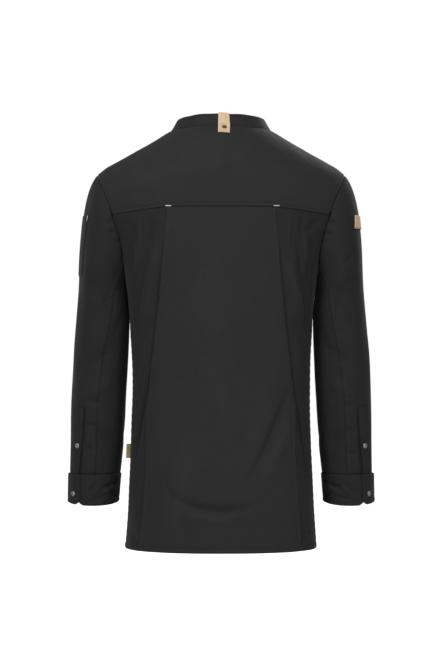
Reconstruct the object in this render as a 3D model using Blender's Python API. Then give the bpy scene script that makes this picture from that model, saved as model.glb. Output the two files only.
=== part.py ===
"""Chef jacket with long sleeves, a stand collar and press studs, as worn but empty.

The front faces -Y, the wearer's left is +X, up is +Z. The origin is the middle of the neck base. The body
is one smooth form over the shoulders, cut into panels along its seams; each panel is a thin closed wall of
cloth. Places on the body are (across, along): across is the angle from the centre line to the side, along is
0 on the shoulder line, 1 where the shoulder has rolled over into the upright, more down to the hem, and
negative in front.
"""

import math

import bmesh
import bpy
import numpy as np
from mathutils import Vector
from mathutils.bvhtree import BVHTree

# ---- driving sizes, in metres ----------------------------------------------------------------------------
CLOTH = 0.0015  # wall of one layer of cotton twill with its turnings
BAND_CLOTH = 0.0022  # collar and cuffs, two layers and their stiffening
SEAM_GAP = 0.0003  # between two pieces that are sewn together
LYING_GAP = 0.0005  # between a sleeve and a piece that lies on it
HEM_Z = -0.785
SHOULDER_ROLL = 0.110  # height in which the shoulder turns from level to upright
HALF_SPAN = 0.262  # half width at the shoulder line, where the form runs on under the sleeves
FORM_POWER = 2.4  # roundness of a level section: 2 is an ellipse
HEM_ALONG = 4.76  # the place called along, at the hem
FRONT_SHOULDER_SEAM = -0.25  # the yoke reaches this far over the shoulder
SHOULDER_TURN = 0.56  # where that seam meets the neckline, which has turn 0 behind and 1 at the centre front
LEFT_FRONT_TURN = 0.96  # where the left front meets its placket, and the neckline
RIGHT_FRONT_TURN = 1.03  # where the right front's edge under the placket meets the neckline
COLLAR_END_TURN = 0.99
YOKE_CENTRE_Z = -0.145
YOKE_SIDE_Z = -0.157
ARMPIT_Z = -0.255
SLEEVE_START_Z = -0.300  # the sleeve is a plain tube from here down
CUFF_TOP_Z = -0.645
CUFF_BOTTOM_Z = -0.705
PLACKET_HALF_WIDTH = 0.016
UNDERLAP = 0.012  # how far the right front runs on past the centre, under the placket
STUD_RADIUS = 0.0050
STUD_HEIGHT = 0.0022
FRONT_STUDS = 7
TOP_FRONT_STUD_Z = -0.095
LOW_FRONT_STUD_Z = -0.695
RIVET_RADIUS = 0.0038
RIVET_HEIGHT = 0.0012

# ---- seams and folds -------------------------------------------------------------------------------------
BACK_SLEEVE_SEAM_SHARE = 0.90  # of the way down the armhole behind, where a seam of the sleeve meets it
FRONT_SLEEVE_SEAM_SHARE = 0.80
FOLD_FADE = 0.35  # folds fade out over this angle before the side seams
FOLD_REACH = 0.1  # and over this much of the sleeve before the cuff

# ---- sleeves and cuffs -----------------------------------------------------------------------------------
SLEEVE_ROUND = 0.32  # length once round a sleeve
CAP_PUFF = 0.35  # how much the sleeve swells to the back and front as it leaves the armhole
CAP_LEAVING = (0.045, 0.150)  # reach of the curve away from the seam, at the armpit and at the top
CAP_ARRIVING = (0.050, 0.190)  # reach of the curve into the tube, the same
CAP_TUCK = -0.15  # how much the curve leaves towards the body at the armpit
SLEEVE_SHIFT = (0.00020, 0, -0.00008)  # out of the armhole seam, so that the sleeve stays clear of the body
CUFF_STEPS = 30  # columns in one turn of a cuff
CUFF_START = 3  # column where the band starts, under the flap
CUFF_LAP = 5  # columns that the flap reaches round to the back
CUFF_PROUD = 0.0006
CUFF_CORNER = 0.0065  # each lower corner is cut off, up by this much in one column
CUFF_TILT = 0.0035  # the lower edge hangs this much lower behind, square to the forearm
CUFF_RAMP = (0.78, 0.18)  # turn at which the flap starts to rise over the band, and the turns it takes
CUFF_STUD = (0.119, -0.686)  # turn and height
STRIP_STUD = (0.134, -0.5945)
PATCH_WALL = 0.0014
STRIP_WALL = 0.0012
STRIP_TURNS = ((0.085, 0.065), (0.183, 0.153))  # front and rear edge of a sleeve placket, top and bottom
STRIP_TOP_Z = -0.520

# ---- neck loop and side label ----------------------------------------------------------------------------
STRAP = 0.0016
LOOP_TURNS_OF_NECK = (-0.060, 0.024)
LOOP_DROP = 0.110  # how far down the yoke the loop's end lies, as along
LOOP_INSIDE = 0.30  # its other end, up the inside of the collar
RIVET_NEAR = (-0.0063, 0.072, 0.0035)  # a point in front of the rivet's seat
LABEL_TOP_Z = -0.590
LABEL_BOTTOM_Z = -0.617
LABEL_REACH = (0.0004, 0.0098)
LABEL_BACK = 0.003  # how far behind the side seam it stands, with this slope
LABEL_SLOPE = 0.35
LABEL_WALL = 0.0010

# ---- rows and columns of the panels ----------------------------------------------------------------------
YOKE_ROWS = 10  # neck to outer edge, and so the columns of a front
BACK_CENTRE_COLUMNS = 12
BACK_SIDE_COLUMNS = 6
SIDE_ROWS = 16  # armpit to hem
NECK_ROWS = 7  # rows of a front that start at the neckline
CAP_ROWS = 6
TUBE_ROWS = 12


def table(names, *rows):
    """A short table: a dict of one array for each named column."""
    return dict(zip(names.split(), np.array(rows, float).T))


def read(columns, place, value, at):
    """Smooth value of one column at places along another, held level past the ends."""
    xs, ys = columns[place], columns[value]
    slopes = np.gradient(ys, xs)
    at = np.clip(at, xs.min(), xs.max())
    low = np.clip(np.searchsorted(xs, at, side="right") - 1, 0, len(xs) - 2)
    step = xs[low + 1] - xs[low]
    part = (at - xs[low]) / step
    rest = 1 - part
    return (
        (1 + 2 * part) * rest**2 * ys[low]
        + part * rest**2 * step * slopes[low]
        + part**2 * (3 - 2 * part) * ys[low + 1]
        - part**2 * rest * step * slopes[low + 1]
    )


# Shoulder line, from the neck outwards.
SHOULDER = table(
    "x z",
    (0.0000, 0.0310),
    (0.0500, 0.0240),
    (0.0970, 0.0020),
    (0.1227, -0.0133),
    (0.1617, -0.0361),
    (0.2024, -0.0589),
    (0.2211, -0.0703),
    (0.2338, -0.0817),
    (0.2620, -0.1090),
)
# Level sections of the body, named by the height of their side.
BODY = table(
    "side_z half_width back_depth front_depth",
    (-0.785, 0.1816, 0.116, 0.120),
    (-0.716, 0.1770, 0.114, 0.118),
    (-0.640, 0.1730, 0.108, 0.118),
    (-0.564, 0.1700, 0.100, 0.119),
    (-0.488, 0.1684, 0.096, 0.121),
    (-0.420, 0.1700, 0.098, 0.124),
    (-0.378, 0.1725, 0.101, 0.125),
    (-0.344, 0.1740, 0.105, 0.125),
    (-0.296, 0.1789, 0.110, 0.121),
    (-0.255, 0.1865, 0.112, 0.112),
    (-0.229, 0.1960, 0.112, 0.104),
    (-0.205, 0.2130, 0.110, 0.094),
    (-0.184, 0.2300, 0.108, 0.088),
    (-0.157, 0.2460, 0.106, 0.082),
    (-0.109, 0.2620, 0.105, 0.075),
)
# Armhole seam as seen from behind, the same in front.
ARMHOLE = table(
    "z x",
    (-0.2550, 0.1865),
    (-0.2320, 0.1862),
    (-0.2076, 0.1893),
    (-0.1870, 0.1945),
    (-0.1590, 0.2035),
    (-0.1440, 0.2075),
    (-0.1140, 0.2205),
    (-0.0817, 0.2338),
)
# Neckline from the centre back over the side of the neck to just past the centre front.
NECKLINE = table(
    "turn x along",
    (0.00, 0.0000, 0.440),
    (0.12, 0.0300, 0.425),
    (0.22, 0.0560, 0.360),
    (0.32, 0.0780, 0.240),
    (0.39, 0.0895, 0.120),
    (0.45, 0.0945, 0.000),
    (0.51, 0.0960, -0.130),
    (0.56, 0.0955, -0.250),
    (0.68, 0.0860, -0.500),
    (0.78, 0.0690, -0.690),
    (0.88, 0.0430, -0.830),
    (0.96, 0.0160, -0.885),
    (1.00, 0.0000, -0.890),
    (1.04, -0.0160, -0.885),
)
# Back princess seam, from the hem up to the yoke.
PRINCESS = table(
    "z x",
    (-0.785, 0.1530),
    (-0.721, 0.1470),
    (-0.618, 0.1410),
    (-0.531, 0.1405),
    (-0.474, 0.1360),
    (-0.405, 0.1275),
    (-0.348, 0.1210),
    (-0.298, 0.1120),
    (-0.258, 0.1035),
    (-0.145, 0.1005),
)
# Level sections of the left sleeve below its cap.
SLEEVE = table(
    "z outer_x inner_x half_depth centre_y",
    (-0.7050, 0.2930, 0.1980, 0.0430, -0.0420),
    (-0.6860, 0.2925, 0.1955, 0.0432, -0.0410),
    (-0.6450, 0.2908, 0.1917, 0.0440, -0.0395),
    (-0.5950, 0.2894, 0.1875, 0.0465, -0.0365),
    (-0.5490, 0.2886, 0.1846, 0.0490, -0.0335),
    (-0.5035, 0.2869, 0.1821, 0.0520, -0.0310),
    (-0.4580, 0.2845, 0.1793, 0.0550, -0.0290),
    (-0.4120, 0.2817, 0.1771, 0.0580, -0.0275),
    (-0.3820, 0.2790, 0.1758, 0.0600, -0.0265),
    (-0.3440, 0.2760, 0.1752, 0.0620, -0.0255),
    (-0.3000, 0.2728, 0.1798, 0.0640, -0.0230),
)
# The stand collar round the neck: how far its top leans in, and its height.
COLLAR = table(
    "turn lean height",
    (0.00, 0.0080, 0.0250),
    (0.12, 0.0080, 0.0250),
    (0.22, 0.0090, 0.0240),
    (0.32, 0.0100, 0.0225),
    (0.39, 0.0110, 0.0210),
    (0.45, 0.0115, 0.0200),
    (0.56, 0.0120, 0.0200),
    (0.78, 0.0100, 0.0220),
    (1.00, 0.0080, 0.0240),
)
# Soft folds of the back: each runs from its start to its end; a height under 0 is a trough.
BACK_FOLDS = table(
    "start_x start_z end_x end_z width height",
    (0.137, -0.440, 0.158, -0.640, 0.014, -0.0040),
    (-0.130, -0.430, -0.156, -0.660, 0.014, -0.0040),
    (-0.126, -0.470, -0.048, -0.670, 0.016, -0.0035),
    (-0.104, -0.470, -0.022, -0.680, 0.018, 0.0025),
    (0.095, -0.668, -0.070, -0.722, 0.016, -0.0030),
    (0.130, -0.200, 0.146, -0.350, 0.014, 0.0030),
    (-0.132, -0.210, -0.148, -0.370, 0.014, 0.0030),
    (0.060, -0.560, 0.100, -0.790, 0.020, 0.0030),
    (0.000, -0.180, 0.030, -0.420, 0.030, 0.0025),
)
# Soft folds of the front, in the same columns.
FRONT_FOLDS = table(
    "start_x start_z end_x end_z width height",
    (0.150, -0.260, 0.080, -0.400, 0.018, -0.0035),
    (-0.150, -0.260, -0.085, -0.380, 0.018, -0.0035),
    (0.110, -0.500, 0.130, -0.790, 0.022, 0.0035),
    (-0.090, -0.520, -0.120, -0.790, 0.022, 0.0035),
    (0.130, -0.430, 0.060, -0.560, 0.016, -0.0030),
)
# Soft folds of a sleeve, by turn round it from the outside over the back and by height.
SLEEVE_FOLDS = table(
    "start_turn start_z end_turn end_z width height",
    (0.14, -0.270, 0.34, -0.330, 0.013, -0.0030),
    (0.36, -0.400, 0.20, -0.440, 0.012, -0.0030),
    (0.34, -0.470, 0.18, -0.500, 0.012, 0.0025),
    (0.60, -0.390, 0.84, -0.440, 0.013, -0.0040),
    (0.62, -0.450, 0.86, -0.480, 0.013, 0.0030),
    (0.22, -0.560, 0.40, -0.590, 0.012, -0.0025),
)


# ---- the form of the body --------------------------------------------------------------------------------
def fold_height(folds, across, up, kind):
    """Sum of the folds at places given by two coordinates in metres."""
    total = 0.0
    for i in range(len(folds["height"])):
        start = np.array([folds[f"start_{kind}"][i], folds["start_z"][i]])
        end = np.array([folds[f"end_{kind}"][i], folds["end_z"][i]])
        if kind == "turn":
            start[0] *= SLEEVE_ROUND
            end[0] *= SLEEVE_ROUND
        run = end - start
        length = np.hypot(*run)
        share = ((across - start[0]) * run[0] + (up - start[1]) * run[1]) / length**2
        aside = ((across - start[0]) * run[1] - (up - start[1]) * run[0]) / length
        taper = np.clip(1 - (2 * share - 1) ** 2, 0, 1)
        total = total + folds["height"][i] * taper * np.exp(-((aside / folds["width"][i]) ** 2))
    return total


def unit_section(across):
    """Rounded-box section of half width 1 and depth 1."""
    sine, cosine = np.sin(across), np.cos(across)
    reach = (np.abs(sine) ** FORM_POWER + np.abs(cosine) ** FORM_POWER) ** (-1 / FORM_POWER)
    return reach * sine, reach * cosine


def side_height(along):
    """Height of the section's side, and how far it is below the shoulder line's roll."""
    roll = SHOULDER_ROLL * (1 - np.cos(np.minimum(np.abs(along), 1) * math.pi / 2))
    below = np.clip((np.abs(along) - 1) / (HEM_ALONG - 1), 0, None)
    end_z = SHOULDER["z"][-1]
    return end_z - roll + below * (HEM_Z - end_z + SHOULDER_ROLL), roll, below


def body_form(across, along):
    """Smooth body, without folds."""
    wide, deep = unit_section(across)
    side_z, roll, below = side_height(along)
    half_width = read(BODY, "side_z", "half_width", side_z)
    back = read(BODY, "side_z", "back_depth", side_z)
    front = read(BODY, "side_z", "front_depth", side_z)
    ridge = read(SHOULDER, "x", "z", np.abs(HALF_SPAN * wide))
    z = ridge - roll + below * (HEM_Z - ridge + SHOULDER_ROLL)
    level = np.sin(np.minimum(np.abs(along), 1) * math.pi / 2)
    y = np.where(along > 0, back, -front) * deep * level
    return np.stack([half_width * wide, y, z], axis=-1)


def surface_normal(form, u, v, step):
    """Unit normal of a form by small steps, which faces out for every form here."""
    along_u = form(u + step, v) - form(u - step, v)
    along_v = form(u, v + step) - form(u, v - step)
    normal = np.cross(along_u, along_v)
    return normal / np.linalg.norm(normal, axis=-1, keepdims=True)


def body(across, along):
    """Body with its folds."""
    across, along = np.broadcast_arrays(np.asarray(across, float), np.asarray(along, float))
    point = body_form(across, along)
    back = fold_height(BACK_FOLDS, point[..., 0], point[..., 2], "x")
    front = fold_height(FRONT_FOLDS, point[..., 0], point[..., 2], "x")
    # Folds fade towards the side seams, so that the two sides still meet there.
    fade = np.clip((math.pi / 2 - np.abs(across)) / FOLD_FADE, 0, 1)
    height = np.where(along > 0, back, front) * fade
    return point + height[..., None] * surface_normal(body_form, across, along, 1e-4)


def place_on_body(x, z, side):
    """(across, along) of a point of the body given by its x and z; side is 1 behind and -1 in front."""
    x, z = np.broadcast_arrays(np.asarray(x, float), np.asarray(z, float))
    wide = np.abs(x) / HALF_SPAN
    for _ in range(60):
        ridge = read(SHOULDER, "x", "z", HALF_SPAN * wide)
        drop = np.maximum(ridge - z, 0)
        rolled = np.arccos(np.clip(1 - drop / SHOULDER_ROLL, 0, 1)) / (math.pi / 2)
        below = (drop - SHOULDER_ROLL) / (ridge - SHOULDER_ROLL - HEM_Z)
        along = np.where(drop < SHOULDER_ROLL, rolled, 1 + below * (HEM_ALONG - 1))
        half_width = read(BODY, "side_z", "half_width", side_height(along)[0])
        wide = 0.5 * wide + 0.5 * np.clip(np.abs(x) / half_width, 0, 1)
    deep = np.clip(1 - wide**FORM_POWER, 0, 1) ** (1 / FORM_POWER)
    return np.stack([np.sign(x) * np.arctan2(wide, deep), side * along], axis=-1)


def even_steps(places, count):
    """Resamples a line of places on the body into steps of even length."""
    points = body(places[:, 0], places[:, 1])
    run = np.concatenate([[0], np.cumsum(np.linalg.norm(np.diff(points, axis=0), axis=1))])
    at = np.linspace(0, run[-1], count + 1)
    return np.stack([np.interp(at, run, places[:, i]) for i in (0, 1)], axis=-1)


# ---- seam lines, for the wearer's left half --------------------------------------------------------------
FINE = 241


def armhole_half(side):
    """Half the armhole from the shoulder line down to the armpit, behind or in front."""
    ease = (1 - np.cos(np.linspace(0, math.pi, FINE))) / 2
    top_z = read(SHOULDER, "x", "z", ARMHOLE["x"][-1])
    z = top_z + (ARMPIT_Z - top_z) * ease
    places = place_on_body(read(ARMHOLE, "z", "x", z), z, side)
    places[0, 1] = 0.0
    places[-1, 0] = math.pi / 2
    return places


ARMHOLE_BACK = armhole_half(1)
ARMHOLE_FRONT = armhole_half(-1)
YOKE_CORNER = int(np.argmin(np.abs(body(*ARMHOLE_BACK.T)[:, 2] - YOKE_SIDE_Z)))
SHOULDER_CORNER = int(np.argmin(np.abs(ARMHOLE_FRONT[:, 1] - FRONT_SHOULDER_SEAM)))
UNDER_BACK = int(FINE * BACK_SLEEVE_SEAM_SHARE)  # where the sleeve's back seam meets the armhole
UNDER_FRONT = int(FINE * FRONT_SLEEVE_SEAM_SHARE)  # where its front seam does

# The armhole's runs between the seams that end on it, each sampled once for every piece that meets there.
RUN_TOP_BACK = even_steps(ARMHOLE_BACK[: YOKE_CORNER + 1], 4)
RUN_BACK = even_steps(ARMHOLE_BACK[YOKE_CORNER : UNDER_BACK + 1], 4)
RUN_UNDER_BACK = even_steps(ARMHOLE_BACK[UNDER_BACK:], 2)
RUN_UNDER_FRONT = even_steps(ARMHOLE_FRONT[UNDER_FRONT:], 4)
RUN_FRONT = even_steps(ARMHOLE_FRONT[SHOULDER_CORNER : UNDER_FRONT + 1], 7)
RUN_TOP_FRONT = even_steps(ARMHOLE_FRONT[: SHOULDER_CORNER + 1], 2)


def joined(*runs):
    """Runs of places end to end, with each shared end once."""
    return np.concatenate([runs[0]] + [run[1:] for run in runs[1:]])


def neckline(turns):
    """Places of the neckline on the left half; turn 0 is the centre back and 1 the centre front."""
    x = np.sign(turns) * read(NECKLINE, "turn", "x", np.abs(turns))
    along = read(NECKLINE, "turn", "along", np.abs(turns))
    half_width = read(BODY, "side_z", "half_width", side_height(along)[0])
    wide = np.abs(x) / half_width
    deep = (1 - wide**FORM_POWER) ** (1 / FORM_POWER)
    return np.stack([np.sign(x) * np.arctan2(wide, deep), along], axis=-1)


def side_seam(side):
    """Side seam from the armpit to the hem."""
    start = abs(ARMHOLE_BACK[-1, 1])
    along = np.linspace(start, HEM_ALONG, SIDE_ROWS + 1)
    return np.stack([np.full_like(along, math.pi / 2), side * along], axis=-1)


def seam_between(start, end, count):
    """Straight seam across the back between two (x, z) places."""
    share = np.linspace(0, 1, count + 1)
    return place_on_body(start[0] + (end[0] - start[0]) * share, start[1] + (end[1] - start[1]) * share, 1)


def hem_line(start, end, count):
    """Hem between two places on it, in even steps."""
    across = np.linspace(start[0], end[0], FINE)
    return even_steps(np.stack([across, np.full_like(across, start[1])], axis=-1), count)


def front_edge(x, turn):
    """Neckline from the shoulder seam to a front's edge, then that edge down to the hem."""
    neck = neckline(np.linspace(SHOULDER_TURN, turn, NECK_ROWS + 1))
    z = np.linspace(body(*neck[-1])[2], HEM_Z, FRONT_ROWS - NECK_ROWS + 1)
    edge = place_on_body(x, z, -1)
    return joined(neck, edge)


def mirrored(places):
    """The same places on the wearer's right half."""
    return places * np.array([-1, 1])


FRONT_ROWS = len(RUN_FRONT) + len(RUN_UNDER_FRONT) - 2 + SIDE_ROWS
PRINCESS_TOP = (float(PRINCESS["x"][-1]), YOKE_CENTRE_Z)
YOKE_SIDE = seam_between(PRINCESS_TOP, body(*RUN_TOP_BACK[-1])[[0, 2]], BACK_SIDE_COLUMNS)
YOKE_SIDE[-1] = RUN_TOP_BACK[-1]
YOKE_CENTRE = seam_between(PRINCESS_TOP, (-PRINCESS_TOP[0], YOKE_CENTRE_Z), BACK_CENTRE_COLUMNS)
BACK_OUTER = joined(RUN_BACK, RUN_UNDER_BACK, side_seam(1))
BACK_INNER_Z = np.concatenate(
    [
        np.linspace(YOKE_CENTRE_Z, ARMPIT_Z, len(RUN_BACK) + len(RUN_UNDER_BACK) - 1),
        np.linspace(ARMPIT_Z, HEM_Z, SIDE_ROWS + 1)[1:],
    ]
)
BACK_INNER = place_on_body(read(PRINCESS, "z", "x", BACK_INNER_Z), BACK_INNER_Z, 1)
FRONT_OUTER = joined(RUN_FRONT, RUN_UNDER_FRONT, side_seam(-1))
SHOULDER_SHARE = np.linspace(0, 1, YOKE_ROWS + 1)[:, None]
SHOULDER_SEAM = neckline(np.array([SHOULDER_TURN])) * (1 - SHOULDER_SHARE) + RUN_FRONT[0] * SHOULDER_SHARE


# ---- making cloth ----------------------------------------------------------------------------------------
def patch(top, bottom, left, right):
    """Places of a four-sided panel filled in from its edges; top and bottom run left to right."""
    u = np.linspace(0, 1, len(top))[None, :, None]
    v = np.linspace(0, 1, len(left))[:, None, None]
    edges = (1 - v) * top[None] + v * bottom[None] + (1 - u) * left[:, None] + u * right[:, None]
    upper = (1 - u) * top[0] + u * top[-1]
    lower = (1 - u) * bottom[0] + u * bottom[-1]
    return edges - (1 - v) * upper - v * lower


def drawn_in(points, amount):
    """The same grid with its four edges moved in along the cloth."""
    moved = points.copy()
    for turned in (False, True):
        grid = points.transpose(1, 0, 2) if turned else points
        out = moved.transpose(1, 0, 2) if turned else moved
        for edge, inside in ((0, 1), (-1, -2)):
            line = grid[edge]
            tangent = np.gradient(line, axis=0)
            tangent /= np.linalg.norm(tangent, axis=1, keepdims=True)
            inward = grid[inside] - line
            inward -= (inward * tangent).sum(axis=1, keepdims=True) * tangent
            inward /= np.linalg.norm(inward, axis=1, keepdims=True)
            out[edge] += amount * inward
    return moved


def linear(srgb):
    return tuple((c / 12.92 if c <= 0.04045 else ((c + 0.055) / 1.055) ** 2.4) for c in srgb)


def finish_of(name, srgb, roughness, metallic=0.0):
    """One Principled material."""
    material = bpy.data.materials.new(name)
    material.use_nodes = True
    shader = material.node_tree.nodes["Principled BSDF"]
    shader.inputs["Base Color"].default_value = (*linear(srgb), 1.0)
    shader.inputs["Roughness"].default_value = roughness
    shader.inputs["Metallic"].default_value = metallic
    return material


def add_object(name, shape, material):
    """Turns a bmesh into a named object with its faces out."""
    bmesh.ops.recalc_face_normals(shape, faces=shape.faces[:])
    if shape.calc_volume(signed=True) < 0:
        bmesh.ops.reverse_faces(shape, faces=shape.faces[:])
    mesh = bpy.data.meshes.new(name)
    shape.to_mesh(mesh)
    shape.free()
    mesh.materials.append(material)
    added = bpy.data.objects.new(name, mesh)
    bpy.context.scene.collection.objects.link(added)
    return added


def add_cloth(name, outer, inner, material):
    """A closed wall between two grids of points with the same rows and columns."""
    rows, columns = outer.shape[:2]
    shape = bmesh.new()
    bmesh.ops.create_grid(shape, x_segments=columns - 1, y_segments=rows - 1, size=0.5)
    layer = shape.verts.layers.int.new("inner")
    made = bmesh.ops.extrude_face_region(shape, geom=shape.faces[:])
    for vertex in (g for g in made["geom"] if isinstance(g, bmesh.types.BMVert)):
        vertex[layer] = 1
    for vertex in shape.verts:
        column = round((vertex.co.x + 0.5) * (columns - 1))
        row = round((0.5 - vertex.co.y) * (rows - 1))
        vertex.co = (inner if vertex[layer] else outer)[row, column]
    return add_object(name, shape, material)


def body_panel(name, places, material, raised=0.0, wall=CLOTH):
    """One panel of the body, cut along its seams."""
    across, along = places[..., 0], places[..., 1]
    normal = surface_normal(body, across, along, 1e-3)
    surface = body(across, along) + raised * normal
    inset = SEAM_GAP / 2
    return add_cloth(name, drawn_in(surface, inset), drawn_in(surface - wall * normal, inset), material)


# ---- panels of the body ----------------------------------------------------------------------------------
def make_yoke(material):
    """Back yoke: rings from the neckline out to the front shoulder seams, armholes and yoke seam."""
    left_half = joined(RUN_TOP_FRONT[::-1], RUN_TOP_BACK, YOKE_SIDE[::-1])
    outer = joined(left_half, YOKE_CENTRE, mirrored(left_half)[::-1])
    neck = neckline(np.linspace(SHOULDER_TURN, -SHOULDER_TURN, len(outer)))
    places = patch(neck, outer, SHOULDER_SEAM, mirrored(SHOULDER_SEAM))
    return body_panel("back_yoke", places, material)


def make_backs(centre_material, side_material):
    """Centre back between the two princess seams, and a side back on each side of it."""
    centre_hem = hem_line(BACK_INNER[-1], mirrored(BACK_INNER[-1]), BACK_CENTRE_COLUMNS)
    centre = patch(YOKE_CENTRE, centre_hem, BACK_INNER, mirrored(BACK_INNER))
    body_panel("back_centre", centre, centre_material)
    side_hem = hem_line(BACK_INNER[-1], BACK_OUTER[-1], BACK_SIDE_COLUMNS)
    side = patch(YOKE_SIDE, side_hem, BACK_INNER, BACK_OUTER)
    body_panel("back_side_left", side, side_material)
    body_panel("back_side_right", mirrored(side), side_material)


def make_fronts(material):
    """Left and right front; the right one runs on under the placket of the left."""
    for name, edge_x, turn, flip in (
        ("front_left", PLACKET_HALF_WIDTH, LEFT_FRONT_TURN, False),
        ("front_right", -UNDERLAP, RIGHT_FRONT_TURN, True),
    ):
        inner = front_edge(edge_x, turn)
        places = patch(SHOULDER_SEAM, hem_line(inner[-1], FRONT_OUTER[-1], YOKE_ROWS), inner, FRONT_OUTER)
        body_panel(name, mirrored(places) if flip else places, material)


def make_placket(material):
    """Placket band down the edge of the left front, over the right front."""
    columns = 4
    left = front_edge(PLACKET_HALF_WIDTH, LEFT_FRONT_TURN)[NECK_ROWS:]
    right = mirrored(left)
    top = neckline(np.linspace(LEFT_FRONT_TURN, 2 - LEFT_FRONT_TURN, columns + 1))
    top[0], top[-1] = left[0], right[0]
    places = patch(top, hem_line(left[-1], right[-1], columns), left, right)
    return body_panel("front_placket", places, material, raised=CLOTH + LYING_GAP)


# ---- collar ----------------------------------------------------------------------------------------------
def collar(turns, up):
    """Outside of the stand collar; up is 0 at the neckline and 1 at its top edge."""
    places = neckline(turns)
    foot = body(places[..., 0], places[..., 1])
    inward = foot * np.array([-1, -1, 0])
    inward /= np.linalg.norm(inward, axis=-1, keepdims=True)
    lean = read(COLLAR, "turn", "lean", np.abs(turns))
    height = read(COLLAR, "turn", "height", np.abs(turns))
    rise = lean[..., None] * inward + height[..., None] * np.array([0, 0, 1])
    return foot + np.asarray(up)[..., None] * rise


def collar_inside(turns, up):
    """Inside of the stand collar."""
    outside = collar(turns, up)
    inward = outside * np.array([-1, -1, 0])
    inward /= np.linalg.norm(inward, axis=-1, keepdims=True)
    return outside + BAND_CLOTH * inward


def make_collar(material):
    """Stand collar round the neckline, its ends meeting at the centre front."""
    rows = 3
    yoke_half = len(RUN_TOP_FRONT) + len(RUN_TOP_BACK) - 2 + BACK_SIDE_COLUMNS
    yoke = np.linspace(SHOULDER_TURN, -SHOULDER_TURN, 2 * yoke_half + BACK_CENTRE_COLUMNS + 1)
    left = np.linspace(LEFT_FRONT_TURN, SHOULDER_TURN, NECK_ROWS + 1)
    right = np.linspace(-SHOULDER_TURN, -RIGHT_FRONT_TURN, NECK_ROWS + 1)
    turns = np.concatenate([[COLLAR_END_TURN], left, yoke[1:], right[1:-1], [-COLLAR_END_TURN]])
    turns, up = np.meshgrid(turns, np.linspace(1, 0, rows + 1))
    lift = np.array([0, 0, SEAM_GAP])
    outer = drawn_in(collar(turns, up) + lift, SEAM_GAP / 2)
    inner = drawn_in(collar_inside(turns, up) + lift, SEAM_GAP / 2)
    return add_cloth("collar", outer, inner, material)


# ---- sleeves ---------------------------------------------------------------------------------------------
def loop_of_armhole():
    """The whole armhole as points by turn: 0 on the shoulder line, 1/4 behind, 1/2 at the armpit."""
    halves = [body(*half.T) for half in (ARMHOLE_BACK, ARMHOLE_FRONT[::-1])]
    steps = [np.linalg.norm(np.diff(half, axis=0), axis=1) for half in halves]
    runs = [np.concatenate([[0], np.cumsum(step)]) for step in steps]
    turns = np.concatenate([runs[0] / runs[0][-1] / 2, 0.5 + runs[1][1:] / runs[1][-1] / 2])
    return turns, np.concatenate([halves[0], halves[1][1:]])


LOOP_TURNS, LOOP_POINTS = loop_of_armhole()


def armhole(turn):
    """Points of the armhole seam by turn."""
    turn = np.mod(turn, 1)
    return np.stack([np.interp(turn, LOOP_TURNS, LOOP_POINTS[:, i]) for i in range(3)], axis=-1)


def tube(turn, z, wider=0.0):
    """Points of the sleeve's plain tube; wider moves them out."""
    outer = read(SLEEVE, "z", "outer_x", z)
    inner = read(SLEEVE, "z", "inner_x", z)
    deep = read(SLEEVE, "z", "half_depth", z)
    angle = 2 * math.pi * turn
    x = (outer + inner) / 2 + ((outer - inner) / 2 + wider) * np.cos(angle)
    y = read(SLEEVE, "z", "centre_y", z) + (deep + wider) * np.sin(angle)
    return np.stack(np.broadcast_arrays(x, y, z), axis=-1)


def sleeve_form(down, turn):
    """Left sleeve without folds: down is 0 at the armhole, 1 where the tube starts and 2 at the cuff."""
    down, turn = np.broadcast_arrays(np.asarray(down, float), np.asarray(turn, float))
    tube_z = SLEEVE_START_Z + np.maximum(down - 1, 0) * (CUFF_TOP_Z - SLEEVE_START_Z)
    below = tube(turn, tube_z)
    high = ((1 + np.cos(2 * math.pi * turn)) / 2)[..., None]
    aside = np.sin(2 * math.pi * turn)[..., None]
    leaving = high * np.array([0.70, 0, -0.71]) + (1 - high) * np.array([CAP_TUCK, 0, -1.0])
    leaving = leaving + CAP_PUFF * aside * np.array([0, 1, 0])
    leaving = leaving * (CAP_LEAVING[0] + (CAP_LEAVING[1] - CAP_LEAVING[0]) * high)
    slope = (tube(turn, SLEEVE_START_Z - 0.004) - tube(turn, SLEEVE_START_Z)) / 0.004
    arriving = slope * (CAP_ARRIVING[0] + (CAP_ARRIVING[1] - CAP_ARRIVING[0]) * high)
    part = np.minimum(down, 1)[..., None]
    rest = 1 - part
    cap = (
        (1 + 2 * part) * rest**2 * armhole(turn)
        + part * rest**2 * leaving
        + part**2 * (3 - 2 * part) * tube(turn, np.full_like(turn, SLEEVE_START_Z))
        - part**2 * rest * arriving
    )
    return np.where((down < 1)[..., None], cap, below)


def sleeve(down, turn):
    """Left sleeve with its folds."""
    down, turn = np.broadcast_arrays(np.asarray(down, float), np.asarray(turn, float))
    point = sleeve_form(down, turn)
    height = fold_height(SLEEVE_FOLDS, np.mod(turn, 1) * SLEEVE_ROUND, point[..., 2], "turn")
    height = height * np.clip(down, 0, 1) * np.clip((2 - down) / FOLD_REACH, 0, 1)
    return point + height[..., None] * surface_normal(sleeve_form, down, turn, 4e-3)


def sleeve_columns():
    """Turns of the sleeve's columns where they leave the armhole, from the shoulder line once round."""
    behind = joined(RUN_TOP_BACK, RUN_BACK, RUN_UNDER_BACK)
    before = joined(RUN_TOP_FRONT, RUN_FRONT, RUN_UNDER_FRONT)
    points = body(*joined(behind, before[::-1]).T)
    nearest = [int(np.argmin(np.linalg.norm(LOOP_POINTS - point, axis=1))) for point in points]
    turns = LOOP_TURNS[nearest]
    turns[-1] = 1.0
    return turns, points


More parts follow.
